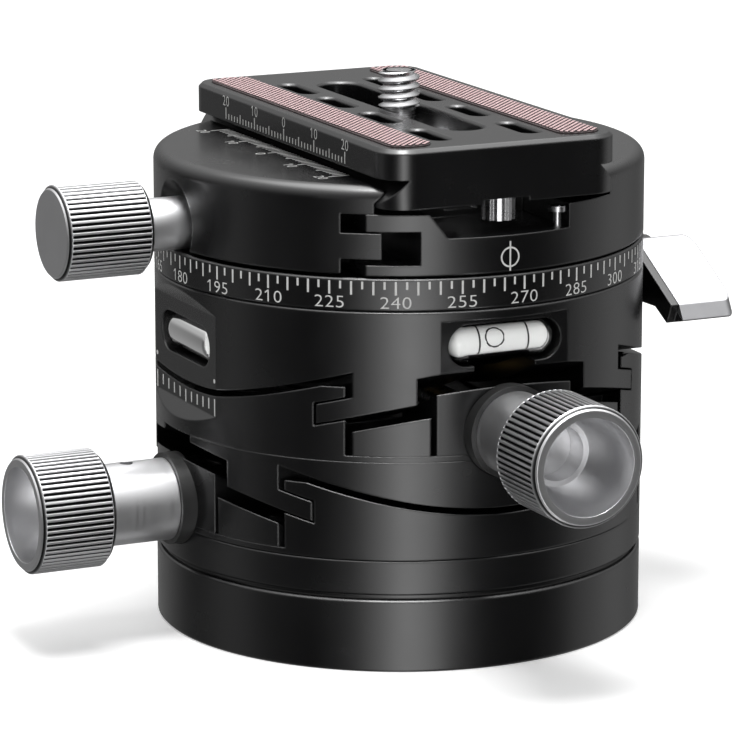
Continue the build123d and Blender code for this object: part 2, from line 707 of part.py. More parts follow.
def side_facet():
    points = [(-SIDE_FLAT, SIDE_FLAT_TOP), (-SIDE_FLAT, SIDE_FLAT_LOW)]
    points += [(-BODY_R, SIDE_FLAT_RAMP_LOW), (-BIG, SIDE_FLAT_RAMP_LOW)]
    points += [(-BIG, SIDE_FLAT_RAMP_TOP), (-BODY_R, SIDE_FLAT_RAMP_TOP)]
    return profile_y(points, -SIDE_FLAT_HALF, SIDE_FLAT_HALF)


def capsule(r, half):
    """Round-ended bar along X."""
    body = rod_x(r, -half + r, half - r)
    return body + Pos(half - r, 0, 0) * Sphere(r) + Pos(r - half, 0, 0) * Sphere(r)


def vial_pocket():
    r = VIAL_R + FIT
    half = VIAL_HALF + FIT
    body = capsule(r, half)
    body += block(-half + r, half - r, -BIG / 10, 0, -r, r)
    for x in (-half + r, half - r):
        body += Pos(x, -BIG / 20, 0) * Rot(90, 0, 0) * Cylinder(r, BIG / 10)
    return body


def vial_glass():
    inner = VIAL_R - VIAL_WALL
    return capsule(VIAL_R, VIAL_HALF) - capsule(inner, VIAL_HALF - VIAL_WALL)


def vial_fluid():
    inner = VIAL_R - VIAL_WALL
    bubble = scale(Sphere(VIAL_BUBBLE_R), (VIAL_BUBBLE_STRETCH, 1, 1))
    return capsule(inner, VIAL_HALF - VIAL_WALL) - Pos(0, 0, inner - VIAL_BUBBLE_R) * bubble


def at_front(shape):
    return Pos(0, -FRONT_FLAT + VIAL_R, FRONT_VIAL_Z) * shape


def at_side(shape):
    return Pos(-SIDE_FLAT + VIAL_R, 0, SIDE_VIAL_Z) * Rot(0, 0, -90) * shape


# pan bearing
def dial_screw_places():
    return diagonal(DIAL_SCREW_AT)


def dial_holes(solid):
    for x, y in dial_screw_places():
        solid -= screw_hole(x, y, DIAL_SCREW_R, DIAL_SCREW_HEAD_R, DIAL_SCREW_END, DIAL_SCREW_SEAT, BIG)
    return solid


def upper_stage():
    top = DIAL_LOW - UPPER_SEAM
    body = upper(cradle(top))
    rim = body.faces().sort_by(Axis.Z)[-1].edges().filter_by(GeomType.CIRCLE).sort_by(Edge.length)[-1]
    body = chamfer(rim, EDGE_BEVEL) - front_facet() - side_facet()
    body -= at_front(vial_pocket())
    body -= at_side(vial_pocket())
    body -= rod(SPINDLE_WELL_R, WELL_FLOOR, BIG)
    body -= rod_x(SHOE_R + FIT, SPINDLE_NECK_R, SHOE_OUT + 0.5, 0, LOCK_Z)
    body -= rod_x(LOCK_SCREW_R + FIT, SPINDLE_NECK_R, BIG, 0, LOCK_Z)
    return dial_holes(body)


def dial_ring():
    body = rod(BODY_R, DIAL_LOW, DIAL_TOP)
    body = chamfer(body.edges().filter_by(GeomType.CIRCLE), EDGE_BEVEL)
    body -= rod(PAN_BUSH_R, 0, BIG)
    return dial_holes(body)


def pan_spindle():
    body = rod(SPINDLE_FLANGE_R, WASHER_TOP, SPINDLE_FLANGE_TOP)
    body = chamfer(body.edges().filter_by(GeomType.CIRCLE), EDGE_BEVEL)
    body += rod(SPINDLE_NECK_R, SPINDLE_FLANGE_TOP - 1, CLAMP_LOW)
    for x, y in spindle_screw_places():
        body -= rod(SPINDLE_SCREW_R, SPINDLE_SCREW_END, BIG, x, y)
    return body


def spindle_screw_places():
    return diagonal(SPINDLE_SCREW_AT)


# pan lock lever
def lever_drop():
    """Offset from the tab's top face to its underside, square to its slope."""
    dy = LEVER_TOP_FRONT[0] - LEVER_TOP_BACK[0]
    dz = LEVER_TOP_FRONT[1] - LEVER_TOP_BACK[1]
    long = math.hypot(dy, dz)
    return (-dz / long * -LEVER_THICK, dy / long * LEVER_THICK)


def lever_tab():
    dy, dz = lever_drop()
    low_front = (LEVER_TOP_FRONT[0] + dy, LEVER_TOP_FRONT[1] + dz)
    low_back = (LEVER_TOP_BACK[0] + dy, LEVER_TOP_BACK[1] + dz)
    body = profile_x([LEVER_TOP_BACK, LEVER_TOP_FRONT, low_front, low_back], LEVER_FACE, LEVER_OUT)
    outer = [e for e in body.edges() if e.center().X > LEVER_OUT - FIT]
    corners = [e for e in outer if abs(e.length - LEVER_THICK) < FIT]
    return fillet(corners, LEVER_CORNER_R)


def lever_arm():
    dy, dz = lever_drop()
    low_front = (LEVER_TOP_FRONT[0] + dy, LEVER_TOP_FRONT[1] + dz)
    low_back = (LEVER_TOP_BACK[0] + dy, LEVER_TOP_BACK[1] + dz)
    belly = [LEVER_TOE, LEVER_BELLY_FRONT, LEVER_BELLY_BACK, (0.0, LOCK_Z - LEVER_HUB_R)]
    shoulder = (LEVER_HUB_R * 0.6, LOCK_Z + LEVER_HUB_R * 0.8)
    side = profile_x([LEVER_TOP_BACK, LEVER_TOP_FRONT] + belly + [shoulder], LEVER_IN, LEVER_FACE)
    under = profile_x([low_back, low_front] + belly, LEVER_FACE, LEVER_ARM_OUT)
    body = side + under + rod_x(LEVER_HUB_R, LEVER_IN, LEVER_ARM_OUT, 0, LOCK_Z)
    body -= lever_tab()
    return body - rod_x(LOCK_SCREW_R, 0, LOCK_SCREW_OUT, 0, LOCK_Z)


# clamp
def clamp_blank(low):
    body = rod(BODY_R, low, CLAMP_TOP)
    rim = body.edges().filter_by(GeomType.CIRCLE).sort_by(Axis.Z)
    body = fillet(rim[-1], TOP_FILLET)
    return chamfer(body.edges().filter_by(GeomType.CIRCLE).sort_by(Axis.Z)[0], EDGE_BEVEL)


def flank(side):
    """Points (x, z) of a jaw's dovetail, from the channel floor up."""
    wall = PLATE_HALF_X + FLANK_GAP
    lip_z = FLANK_LOW + wall - LIP_HALF
    points = [(wall, CHANNEL_FLOOR), (wall, FLANK_LOW), (LIP_HALF, lip_z), (LIP_HALF, BIG)]
    return [(side * x, z) for x, z in points]


def stud_recesses():
    end = STUD_Y - PLATE_TRAVEL - STUD_R - FIT
    recess = block(-STUD_RECESS_HALF, STUD_RECESS_HALF, -BIG, -end, STUD_RECESS_FLOOR, BIG)
    return recess + Rot(0, 0, 180) * recess


def clamp_body():
    body = clamp_blank(CLAMP_LOW)
    body -= block(-BIG, SPLIT_X, -BIG, BIG, 0, BIG)
    body -= profile_y([(-BIG, CHANNEL_FLOOR)] + flank(1) + [(-BIG, BIG)], -BIG, BIG)
    for side in (-1, 1):
        x0, x1 = sorted((side * SEAT_IN, side * SEAT_OUT))
        body += block(x0, x1, -SEAT_HALF_Y, SEAT_HALF_Y, CHANNEL_FLOOR, PLATE_LOW)
        y0, y1 = sorted((side * COMB_Y, side * BIG))
        body -= block(SPLIT_X - 1, FINGER_POCKET_X, y0, y1, FINGER_POCKET_LOW, FINGER_POCKET_TOP)
    window = [(WINDOW_LEFT - WINDOW_SLANT, CHANNEL_FLOOR + 0.01), (WINDOW_LEFT, WINDOW_FLOOR)]
    window += [(WINDOW_RIGHT, WINDOW_FLOOR), (WINDOW_RIGHT, CHANNEL_FLOOR + 0.01)]
    body -= profile_y(window, -BIG, WINDOW_BACK)
    body -= stud_recesses() & block(-BIG, BIG, -BIG, BIG, 0, PLATE_LOW)
    body -= rod_x(CLAMP_SCREW_R + FIT, -BIG, CLAMP_BORE_END, 0, CLAMP_AXIS_Z)
    for y in (-GUIDE_Y, GUIDE_Y):
        body -= rod_x(GUIDE_R, -BIG, GUIDE_IN, y, CLAMP_AXIS_Z)
        body -= rod_x(SPRING_WELL_R, -BIG, SPRING_WELL_X, y, CLAMP_AXIS_Z)
    for x, y in spindle_screw_places():
        body -= screw_hole(x, y, SPINDLE_SCREW_R, SPINDLE_SCREW_HEAD_R, CLAMP_LOW, SPINDLE_SCREW_SEAT, BIG)
    return body - rod(POST_R, POST_LOW, BIG, POST_X, POST_Y)


def moving_jaw():
    wall = PLATE_HALF_X + FLANK_GAP
    inner = [(-BIG, 0), (JAW_X, 0), (JAW_X, CHANNEL_FLOOR + FIT), (-wall, CHANNEL_FLOOR + FIT)]
    body = clamp_blank(JAW_LOW) & profile_y(inner + flank(-1)[1:] + [(-BIG, BIG)], -BIG, BIG)
    tongue = clamp_blank(JAW_LOW) & block(JAW_NOTCH_X, TONGUE_X, -BIG, BIG, TONGUE_LOW, TONGUE_TOP)
    for side in (-1, 1):
        y0, y1 = sorted((side * COMB_Y, side * BIG))
        body -= block(JAW_NOTCH_X, 0, y0, y1, 0, TONGUE_LOW)
        body -= block(JAW_NOTCH_X, 0, y0, y1, TONGUE_TOP, CHANNEL_FLOOR + FIT)
        y0, y1 = sorted((side * (COMB_Y + SEAM), side * BIG))
        body += tongue & block(-BIG, BIG, y0, y1, 0, BIG)
    body -= rod_x(CLAMP_SCREW_R + SEAM, -BIG, 0, 0, CLAMP_AXIS_Z)
    dimple = Cone(DIMPLE_R, DIMPLE_MOUTH_R, BODY_R + 1 - DIMPLE_FLOOR)
    body -= Pos(-(DIMPLE_FLOOR + BODY_R + 1) / 2, 0, CLAMP_AXIS_Z) * Rot(0, -90, 0) * dimple
    for y in (-GUIDE_Y, GUIDE_Y):
        body -= rod_x(GUIDE_BORE_R, GUIDE_BORE_OUT, 0, y, CLAMP_AXIS_Z)
    return body


def clamp_knob():
    core = rod(CLAMP_KNOB_R, CLAMP_KNOB_IN, CLAMP_KNOB_OUT)
    core = chamfer(core.edges().filter_by(GeomType.CIRCLE), KNOB_BEVEL)
    grip_low = CLAMP_KNOB_IN + KNOB_BEVEL
    grip_top = CLAMP_KNOB_OUT - KNOB_BEVEL
    core -= rod(CLAMP_KNOB_R + 1, grip_low, grip_top)
    body = core + knurled(CLAMP_KNOB_R, KNURL_DEEP, CLAMP_KNURLS, grip_low, grip_top)
    body += rod(CLAMP_NECK_R, CLAMP_NECK_IN, CLAMP_KNOB_IN + 1)
    body -= rod(CLAMP_SCREW_R, 0, -CLAMP_SCREW_OUT)
    return Plane(origin=(0, 0, CLAMP_AXIS_Z), x_dir=(0, 0, 1), z_dir=(-1, 0, 0)).location * body


def guide_pins():
    return Part() + [rod_x(GUIDE_R, GUIDE_OUT, GUIDE_IN, y, CLAMP_AXIS_Z) for y in (-GUIDE_Y, GUIDE_Y)]


def jaw_springs():
    group = Part()
    for y in (-GUIDE_Y, GUIDE_Y):
        piece = rod_x(SPRING_R, SPLIT_X, SPRING_WELL_X, y, CLAMP_AXIS_Z)
        group += piece - rod_x(SPRING_BORE_R, -BIG, 0, y, CLAMP_AXIS_Z)
    return group


def spindle_screws():
    group = Part()
    for x, y in spindle_screw_places():
        ends = (SPINDLE_SCREW_END, SPINDLE_SCREW_SEAT, SPINDLE_SCREW_HEAD_TOP)
        group += screw(x, y, SPINDLE_SCREW_R, SPINDLE_SCREW_HEAD_R, *ends)
    return group


def stop_post():
    shank = rod(POST_R, POST_LOW, POST_TOP, POST_X, POST_Y)
    return shank + rod(POST_HEAD_R, POST_HEAD_LOW, POST_TOP, POST_X, POST_Y)


# camera plate
def slot(x, y, wide, long, low, high):
    """Upright round-ended slot along Y."""
    half = (long - wide) / 2
    body = block(x - wide / 2, x + wide / 2, y - half, y + half, low, high)
    return body + rod(wide / 2, low, high, x, y - half) + rod(wide / 2, low, high, x, y + half)


def pad_place(side, gap, low, high):
    x0, x1 = sorted((side * (PAD_IN - gap), side * (PAD_OUT + gap)))
    body = block(x0, x1, -PAD_HALF_Y - gap, PAD_HALF_Y + gap, low, high)
    return fillet(body.edges().filter_by(Axis.Z), PAD_CORNER_R + gap)


def camera_plate():
    body = block(-PLATE_HALF_X, PLATE_HALF_X, -PLATE_HALF_Y, PLATE_HALF_Y, PLATE_LOW, PLATE_TOP)
    body = fillet(body.edges().filter_by(Axis.Z), PLATE_CORNER_R)
    body = chamfer(body.faces().sort_by(Axis.Z)[-1].edges(), PLATE_TOP_BEVEL)
    for side in (-1, 1):
        for y in SLOT_CENTRES:
            body -= slot(side * SLOT_ROW_X, -y, SLOT_WIDE, SLOT_LONG, 0, BIG)
    body -= slot(0, 0, CENTRE_SLOT_WIDE, 2 * CENTRE_SLOT_HALF, 0, BIG)
    rims = body.faces().sort_by(Axis.Z)[-1].inner_wires()
    body = chamfer([e for rim in rims for e in rim.edges()], SLOT_BEVEL)
    for side in (-1, 1):
        groove = [(side * PLATE_HALF_X, FLANK_LOW), (side * WAIST_HALF, SHELF_Z)]
        groove += [(side * BIG, SHELF_Z), (side * BIG, FLANK_LOW)]
        body -= profile_y(groove, -BIG, BIG)
        body -= pad_place(side, PAD_GAP, PLATE_TOP - PAD_DEEP, BIG)
    body -= slot(0, 0, HEAD_SLOT_WIDE, 2 * HEAD_SLOT_HALF, 0, HEAD_SLOT_TOP)
    body -= block(-PLATE_GROOVE_HALF, PLATE_GROOVE_HALF, -BIG, BIG, 0, PLATE_GROOVE_TOP)
    for y in (-STUD_Y, STUD_Y):
        body -= rod(STUD_SHANK_R, 0, STUD_SHANK_TOP, 0, y)
    return body


def plate_pad(side):
    return pad_place(side, 0, PLATE_TOP - PAD_DEEP, PLATE_TOP + PAD_PROUD)


def plate_stop_studs():
    """Knurled cap screws under the ends of the plate, heads down."""
    head = knurled(STUD_R, STUD_RIB_DEEP, STUD_RIBS, STUD_LOW, PLATE_GROOVE_TOP)
    head -= rod(STUD_SOCKET_R, STUD_LOW, STUD_LOW + STUD_SOCKET_DEEP)
    piece = head + rod(STUD_SHANK_R, PLATE_GROOVE_TOP, STUD_SHANK_TOP)
    return Part() + [Pos(0, y, 0) * piece for y in (-STUD_Y, STUD_Y)]


def camera_screw():
    top = PLATE_TOP + CAMERA_RISE
    body = rod(CAMERA_R, PLATE_TOP + FIT, top)
    body = chamfer(body.edges().filter_by(GeomType.CIRCLE).sort_by(Axis.Z)[-1], CAMERA_BEVEL)
    body += rod(CAMERA_NECK_R, CAMERA_HEAD_TOP, PLATE_TOP + FIT)
    body += rod(CAMERA_HEAD_R, CAMERA_HEAD_LOW, CAMERA_HEAD_TOP)
    groove = CAMERA_SLOT_WIDE / 2
    return body - block(-BIG, BIG, -groove, groove, 0, CAMERA_HEAD_LOW + CAMERA_SLOT_DEEP)


def screw_retainer():
    return rod(RETAINER_R, RETAINER_LOW, RETAINER_TOP) - rod(CAMERA_NECK_R + FIT, 0, BIG)


def build():
    nodes = {}
    nodes["base_disc"] = base_disc()
    nodes["tripod_bush"] = rod(BUSH_R, BUSH_LOW, BUSH_TOP) - rod(THREAD_R, 0, BIG)
    nodes["base_screws"] = base_screw_group()
    nodes["spacer_ring"] = spacer()
    stage_height = MODULE_PITCH
    on_top = Pos(0, 0, stage_height) * Rot(0, 0, 90)
    screws, holes = rack_screws(stage_height)
    stage = cradle(stage_height) - holes
    for x, y in bed_screws():
        stage -= on_top * rod(BED_SCREW_R + FIT, BED_SCREW_END - FIT, BIG, x, y)
    stage -= on_top * down_holes()
    stage -= on_top * collar_bite()
    nodes["lower_stage"] = lower(stage)
    nodes["lower_rack"] = lower(rack())
    nodes["lower_rack_screws"] = lower(screws)
    upper_screws, upper_holes = rack_screws(WELL_FLOOR - UPPER_SEAM)
    nodes["upper_stage"] = upper_stage() - upper(upper_holes)
    nodes["upper_rack"] = upper(rack())
    nodes["upper_rack_screws"] = upper(upper_screws)
    track = bed()
    nodes["lower_track"] = base_screw_holes(lower(track))
    upper_track = track
    bed_group = Part()
    for x, y in bed_screws():
        upper_track -= screw_hole(x, y, BED_SCREW_R, BED_SCREW_HEAD_R, 0, BED_SCREW_SEAT, BIG)
        ends = (BED_SCREW_END, BED_SCREW_SEAT, BED_SCREW_HEAD_TOP)
        bed_group += screw(x, y, BED_SCREW_R, BED_SCREW_HEAD_R, *ends)
    nodes["upper_track"] = upper(upper_track) - side_facet()
    nodes["upper_track_screws"] = upper(bed_group)
    pieces = {
        "worm_housing": worm_housing(),
        "end_blocks": end_blocks(),
        "rear_bearing": bearing_block(),
        "block_screws": module_screws(),
        "worm_bush": worm_bush(),
        "worm_shaft": worm_shaft(),
        "knob": cup_knob(),
        "knob_grub": knob_grub(),
    }
    for name, piece in pieces.items():
        nodes["lower_" + name] = lower(piece)
        nodes["upper_" + name] = upper(piece)
    nodes["front_vial"] = at_front(vial_glass())
    nodes["front_vial_fluid"] = at_front(vial_fluid())
    nodes["side_vial"] = at_side(vial_glass())
    nodes["side_vial_fluid"] = at_side(vial_fluid())
    nodes["dial_ring"] = dial_ring()
    dial_group = Part()
    for x, y in dial_screw_places():
        ends = (DIAL_SCREW_END, DIAL_SCREW_SEAT, DIAL_SCREW_HEAD_TOP)
        dial_group += screw(x, y, DIAL_SCREW_R, DIAL_SCREW_HEAD_R, *ends)
    nodes["dial_ring_screws"] = dial_group
    nodes["pan_washer"] = rod(WASHER_R, WELL_FLOOR, WASHER_TOP)
    nodes["pan_bush"] = rod(PAN_BUSH_R, DIAL_LOW, DIAL_TOP) - rod(SPINDLE_NECK_R + FIT, 0, BIG)
    nodes["pan_brake_shoe"] = rod_x(SHOE_R, SHOE_IN, SHOE_OUT, 0, LOCK_Z)
    nodes["pan_lock_screw"] = rod_x(LOCK_SCREW_R, LOCK_SCREW_IN, LOCK_SCREW_OUT, 0, LOCK_Z)
    nodes["pan_lever_tab"] = lever_tab()
    nodes["pan_lever_arm"] = lever_arm()
    nodes["clamp_body"] = clamp_body()
    nodes["pan_spindle"] = pan_spindle()
    nodes["spindle_screws"] = spindle_screws()
    nodes["jaw_guide_pins"] = guide_pins()
    nodes["jaw_springs"] = jaw_springs()
    nodes["stop_post"] = stop_post()
    nodes["moving_jaw"] = moving_jaw()
    nodes["clamp_knob"] = clamp_knob()
    nodes["clamp_screw"] = rod_x(CLAMP_SCREW_R, CLAMP_SCREW_OUT, CLAMP_SCREW_IN, 0, CLAMP_AXIS_Z)
    nodes["camera_plate"] = camera_plate()
    nodes["plate_pad_left"] = plate_pad(-1)
    nodes["plate_pad_right"] = plate_pad(1)
    nodes["plate_stop_studs"] = plate_stop_studs()
    nodes["camera_screw"] = camera_screw()
    nodes["screw_retainer"] = screw_retainer()
    return nodes


os.makedirs("parts", exist_ok=True)
for name, shape in build().items():
    export_step(shape, "parts/" + name + ".step")
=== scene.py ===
import json
import math

import bmesh
import bpy
from mathutils import Matrix, Vector


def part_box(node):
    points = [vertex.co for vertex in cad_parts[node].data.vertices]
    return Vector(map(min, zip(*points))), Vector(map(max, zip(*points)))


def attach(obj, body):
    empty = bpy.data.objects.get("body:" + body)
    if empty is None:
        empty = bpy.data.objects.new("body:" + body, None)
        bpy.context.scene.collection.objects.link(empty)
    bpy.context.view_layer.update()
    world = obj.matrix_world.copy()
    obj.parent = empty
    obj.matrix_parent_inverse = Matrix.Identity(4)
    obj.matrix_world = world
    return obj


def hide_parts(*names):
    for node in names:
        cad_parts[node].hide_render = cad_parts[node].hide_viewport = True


MM = 0.001
BODY_R = 37.5
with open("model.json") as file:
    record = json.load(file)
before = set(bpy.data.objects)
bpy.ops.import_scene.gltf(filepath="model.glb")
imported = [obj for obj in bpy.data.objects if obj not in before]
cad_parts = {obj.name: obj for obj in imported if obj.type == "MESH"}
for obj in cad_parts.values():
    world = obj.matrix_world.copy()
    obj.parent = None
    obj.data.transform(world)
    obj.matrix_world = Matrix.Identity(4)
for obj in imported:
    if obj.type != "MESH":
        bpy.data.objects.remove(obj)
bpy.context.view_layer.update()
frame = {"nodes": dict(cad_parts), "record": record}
nodes = frame["nodes"]


# ---------------------------------------------------------------- node materials
def graph(name):
    """New node material: (material, its tree, its Principled shader)."""
    mat = bpy.data.materials.new(name)
    mat.use_nodes = True
    return mat, mat.node_tree, mat.node_tree.nodes["Principled BSDF"]


def add(tree, kind, **settings):
    node = tree.nodes.new(kind)
    for key, value in settings.items():
        setattr(node, key, value)
    return node


def noise(tree, vector, scale, detail=3.0):
    node = add(tree, "ShaderNodeTexNoise")
    node.inputs["Scale"].default_value = scale
    node.inputs["Detail"].default_value = detail
    tree.links.new(vector, node.inputs["Vector"])
    return node.outputs["Fac"]


def spread(tree, value, low, high):
    """Maps a noise value to a range."""
    node = add(tree, "ShaderNodeMapRange")
    node.inputs["From Min"].default_value = 0.3
    node.inputs["From Max"].default_value = 0.7
    node.inputs["To Min"].default_value = low
    node.inputs["To Max"].default_value = high
    tree.links.new(value, node.inputs["Value"])
    return node.outputs["Result"]


def tint(tree, value, low, high):
    """Colour between two, by a noise value."""
    node = add(tree, "ShaderNodeMix", data_type="RGBA")
    node.inputs["A"].default_value = (*low, 1)
    node.inputs["B"].default_value = (*high, 1)
    tree.links.new(value, node.inputs["Factor"])
    return node.outputs["Result"]


def object_coords(tree):
    return add(tree, "ShaderNodeTexCoord").outputs["Object"]


def math_node(tree, operation, first, second=None):
    """One step of arithmetic on numbers or sockets."""
    node = add(tree, "ShaderNodeMath", operation=operation)
    for socket, value in zip(node.inputs, (first, second)):
        if isinstance(value, (int, float)):
            socket.default_value = value
        elif value is not None:
            tree.links.new(value, socket)
    return node.outputs[0]


def turned_coords(tree, axis, centre):
    """(distance from the axis, place along it, 0): equal all the way round, like lathe marks."""
    parts = add(tree, "ShaderNodeSeparateXYZ")
    tree.links.new(object_coords(tree), parts.inputs["Vector"])
    squares = []
    for k in "XYZ".replace(axis, ""):
        shift = math_node(tree, "SUBTRACT", parts.outputs[k], centre["XYZ".index(k)] * MM)
        squares.append(math_node(tree, "MULTIPLY", shift, shift))
    distance = math_node(tree, "SQRT", math_node(tree, "ADD", *squares))
    joined = add(tree, "ShaderNodeCombineXYZ")
    tree.links.new(distance, joined.inputs["X"])
    tree.links.new(parts.outputs[axis], joined.inputs["Y"])
    return joined.outputs[0]


def relief(tree, shader, height, depth_mm, edge_mm=0.0):
    """Bump from a height value, over rounded edges."""
    bump = add(tree, "ShaderNodeBump")
    bump.inputs["Strength"].default_value = 1.0
    bump.inputs["Distance"].default_value = depth_mm * MM
    tree.links.new(height, bump.inputs["Height"])
    if edge_mm:
        edge = add(tree, "ShaderNodeBevel", samples=6)
        edge.inputs["Radius"].default_value = edge_mm * MM
        tree.links.new(edge.outputs["Normal"], bump.inputs["Normal"])
    tree.links.new(bump.outputs["Normal"], shader.inputs["Normal"])


BLACK = ((0.0022, 0.0022, 0.0024), (0.0040, 0.0040, 0.0043))
BLACK_EDGE = 0.38


def blasted_black(name):
    """Satin black anodised aluminium: bead-blasted grain and faint handling marks."""
    mat, tree, shader = graph(name)
    place = object_coords(tree)
    cloud = noise(tree, place, 120, 4)
    grain = noise(tree, place, 5200, 2)
    tree.links.new(tint(tree, cloud, *BLACK), shader.inputs["Base Color"])
    tree.links.new(spread(tree, cloud, 0.23, 0.28), shader.inputs["Roughness"])
    shader.inputs["Specular IOR Level"].default_value = 0.62
    relief(tree, shader, grain, 0.0022, BLACK_EDGE)
    return mat


TURNED_EDGE = 0.15
RING_SCALE = 5000


def turned_metal(name, colours, roughness, axis, centre, depth=0.0016):
    """Lathe-turned metal with rings about one axis."""
    mat, tree, shader = graph(name)
    rings = noise(tree, turned_coords(tree, axis, centre), RING_SCALE, 2)
    cloud = noise(tree, object_coords(tree), 160, 3)
    tree.links.new(tint(tree, cloud, *colours), shader.inputs["Base Color"])
    tree.links.new(spread(tree, rings, roughness - 0.05, roughness + 0.06), shader.inputs["Roughness"])
    shader.inputs["Metallic"].default_value = 1.0
    relief(tree, shader, rings, depth, TURNED_EDGE)
    return mat


KNURL_DEEP = 0.45
KNURL_BAND = 1.4 * KNURL_DEEP
# painted shade: how far the knurl's colour is darkened, by place across the grooves (distance from the axis)
KNURL_PAINTED_SHADE = ((0.24, 1.0), (0.28, 0.02), (0.62, 0.10), (0.92, 1.0))
FINE_RINGS = 0.0007


def knurled_metal(name, colours, roughness, axis, centre, knurl_r):
    """Turned metal whose knurling has painted shade in its grooves: the colour is darkened by the distance
    from the axis.
    """
    mat = turned_metal(name, colours, roughness, axis, centre, FINE_RINGS)
    tree = mat.node_tree
    shader = tree.nodes["Principled BSDF"]
    bright = shader.inputs["Base Color"].links[0].from_socket
    parts = add(tree, "ShaderNodeSeparateXYZ")
    tree.links.new(turned_coords(tree, axis, centre), parts.inputs["Vector"])
    # painted shade in the knurl's grooves, multiplied into the metal's colour
    shade = add(tree, "ShaderNodeValToRGB")
    shade.color_ramp.elements[0].color = (1, 1, 1, 1)
    shade.color_ramp.elements[1].color = (1, 1, 1, 1)
    for place, value in KNURL_PAINTED_SHADE:
        shade.color_ramp.elements.new(place).color = (value, value, value, 1)
    band = add(tree, "ShaderNodeMapRange")
    band.inputs["From Min"].default_value = (knurl_r - KNURL_BAND) * MM
    band.inputs["From Max"].default_value = knurl_r * MM
    tree.links.new(parts.outputs["X"], band.inputs["Value"])
    tree.links.new(band.outputs["Result"], shade.inputs["Fac"])
    both = add(tree, "ShaderNodeMix", data_type="RGBA", blend_type="MULTIPLY")
    both.inputs["Factor"].default_value = 1.0
    tree.links.new(bright, both.inputs["A"])
    tree.links.new(shade.outputs["Color"], both.inputs["B"])
    tree.links.new(both.outputs["Result"], shader.inputs["Base Color"])
    return mat


def plain_grain(name, colours, roughness, scale, depth, metallic=0.0, edge_mm=0.1):
    """Fine grain without a direction, with a cloudy colour and roughness."""
    mat, tree, shader = graph(name)
    place = object_coords(tree)
    cloud = noise(tree, place, scale / 12, 3)
    wear = noise(tree, place, scale / 5, 3)
    tree.links.new(tint(tree, cloud, *colours), shader.inputs["Base Color"])
    tree.links.new(spread(tree, wear, roughness - 0.05, roughness + 0.05), shader.inputs["Roughness"])
    shader.inputs["Metallic"].default_value = metallic
    relief(tree, shader, noise(tree, place, scale, 3), depth, edge_mm)
    return mat


def greys(low, high, blue=0.01):
    """Two greys, with this much added to their blue."""
    return ((low, low, low + blue), (high, high, high + blue))


SILVER = greys(0.60, 0.68)
KNOB_ROUGH = 0.36
KNOB_R = 9.0
CLAMP_KNOB_R = 7.2
LOWER_AXIS = (0, 0, 21.22)
UPPER_AXIS = (0, 0, 36.05)
CLAMP_AXIS = (0, 0, 63.6)
MIDDLE_AXIS = (0, 0, 0)
GRAIN = 5000

black = blasted_black("black_anodised")
silver_lower = knurled_metal("silver_lower_knob", SILVER, KNOB_ROUGH, "X", LOWER_AXIS, KNOB_R)
silver_upper = knurled_metal("silver_upper_knob", SILVER, KNOB_ROUGH, "Y", UPPER_AXIS, KNOB_R)
silver_clamp = knurled_metal("silver_clamp_knob", SILVER, KNOB_ROUGH, "X", CLAMP_AXIS, CLAMP_KNOB_R)
silver_tab = plain_grain("silver_tab", greys(0.30, 0.36), 0.34, 6000, 0.002, 1.0, 0.2)
steel_z = turned_metal("steel_upright", greys(0.52, 0.64), 0.24, "Z", MIDDLE_AXIS)
steel = plain_grain("steel", greys(0.42, 0.55), 0.28, GRAIN, 0.002, 1.0)
spring_steel = plain_grain("spring_steel", greys(0.30, 0.42), 0.33, GRAIN, 0.002, 1.0)
black_screw = plain_grain("blackened_steel", greys(0.018, 0.03, 0.001), 0.36, GRAIN, 0.002, 0.4)
brass = plain_grain("brass", ((0.55, 0.36, 0.13), (0.66, 0.45, 0.18)), 0.30, GRAIN, 0.002, 1.0)
bronze = plain_grain("bronze", ((0.34, 0.2, 0.1), (0.45, 0.28, 0.15)), 0.42, GRAIN, 0.003, 1.0)
polymer = plain_grain("black_polymer", greys(0.010, 0.016, 0.0), 0.42, GRAIN, 0.002)
paint = plain_grain("engraved_white", greys(0.48, 0.66, -0.01), 0.55, GRAIN, 0.003, 0.0, 0.0)
paint_dark = plain_grain("vial_line_black", greys(0.004, 0.009, 0.0), 0.35, GRAIN, 0.001, 0.0, 0.0)
# painted shade: grey for the band low on the vial fluid
vial_painted_shade = plain_grain("vial_painted_shade", greys(0.16, 0.36, 0.0), 0.35, 3000, 0.001, 0.0, 0.0)


def clear(name, colours, roughness, ior, transmission=1.0):
    """See-through material with faint waves."""
    mat, tree, shader = graph(name)
    place = object_coords(tree)
    wear = noise(tree, place, 900, 2)
    tree.links.new(tint(tree, noise(tree, place, 400, 2), *colours), shader.inputs["Base Color"])
    tree.links.new(spread(tree, wear, roughness, roughness + 0.03), shader.inputs["Roughness"])
    shader.inputs["Transmission Weight"].default_value = transmission
    shader.inputs["IOR"].default_value = ior
    relief(tree, shader, noise(tree, place, 260, 1), 0.004)
    return mat


acrylic = clear("vial_acrylic", ((0.96, 0.97, 0.96), (0.99, 0.99, 0.99)), 0.02, 1.30)
fluid = clear("vial_fluid", ((0.90, 0.91, 0.90), (0.99, 0.99, 0.98)), 0.10, 1.10, 0.05)


PAD_TOP_Z = 79.1
PAD_GROOVE_Z = 78.86
PAD_PALE_Z = 0.4 * PAD_GROOVE_Z + 0.6 * PAD_TOP_Z
PAD_POINTS = ((0.78, 0.50, 0.51), (0.93, 0.72, 0.73))
# painted shade: the near-black colour given to the grooves between the points
PAD_GROOVE_PAINTED_SHADE = (0.010, 0.0016, 0.002, 1)


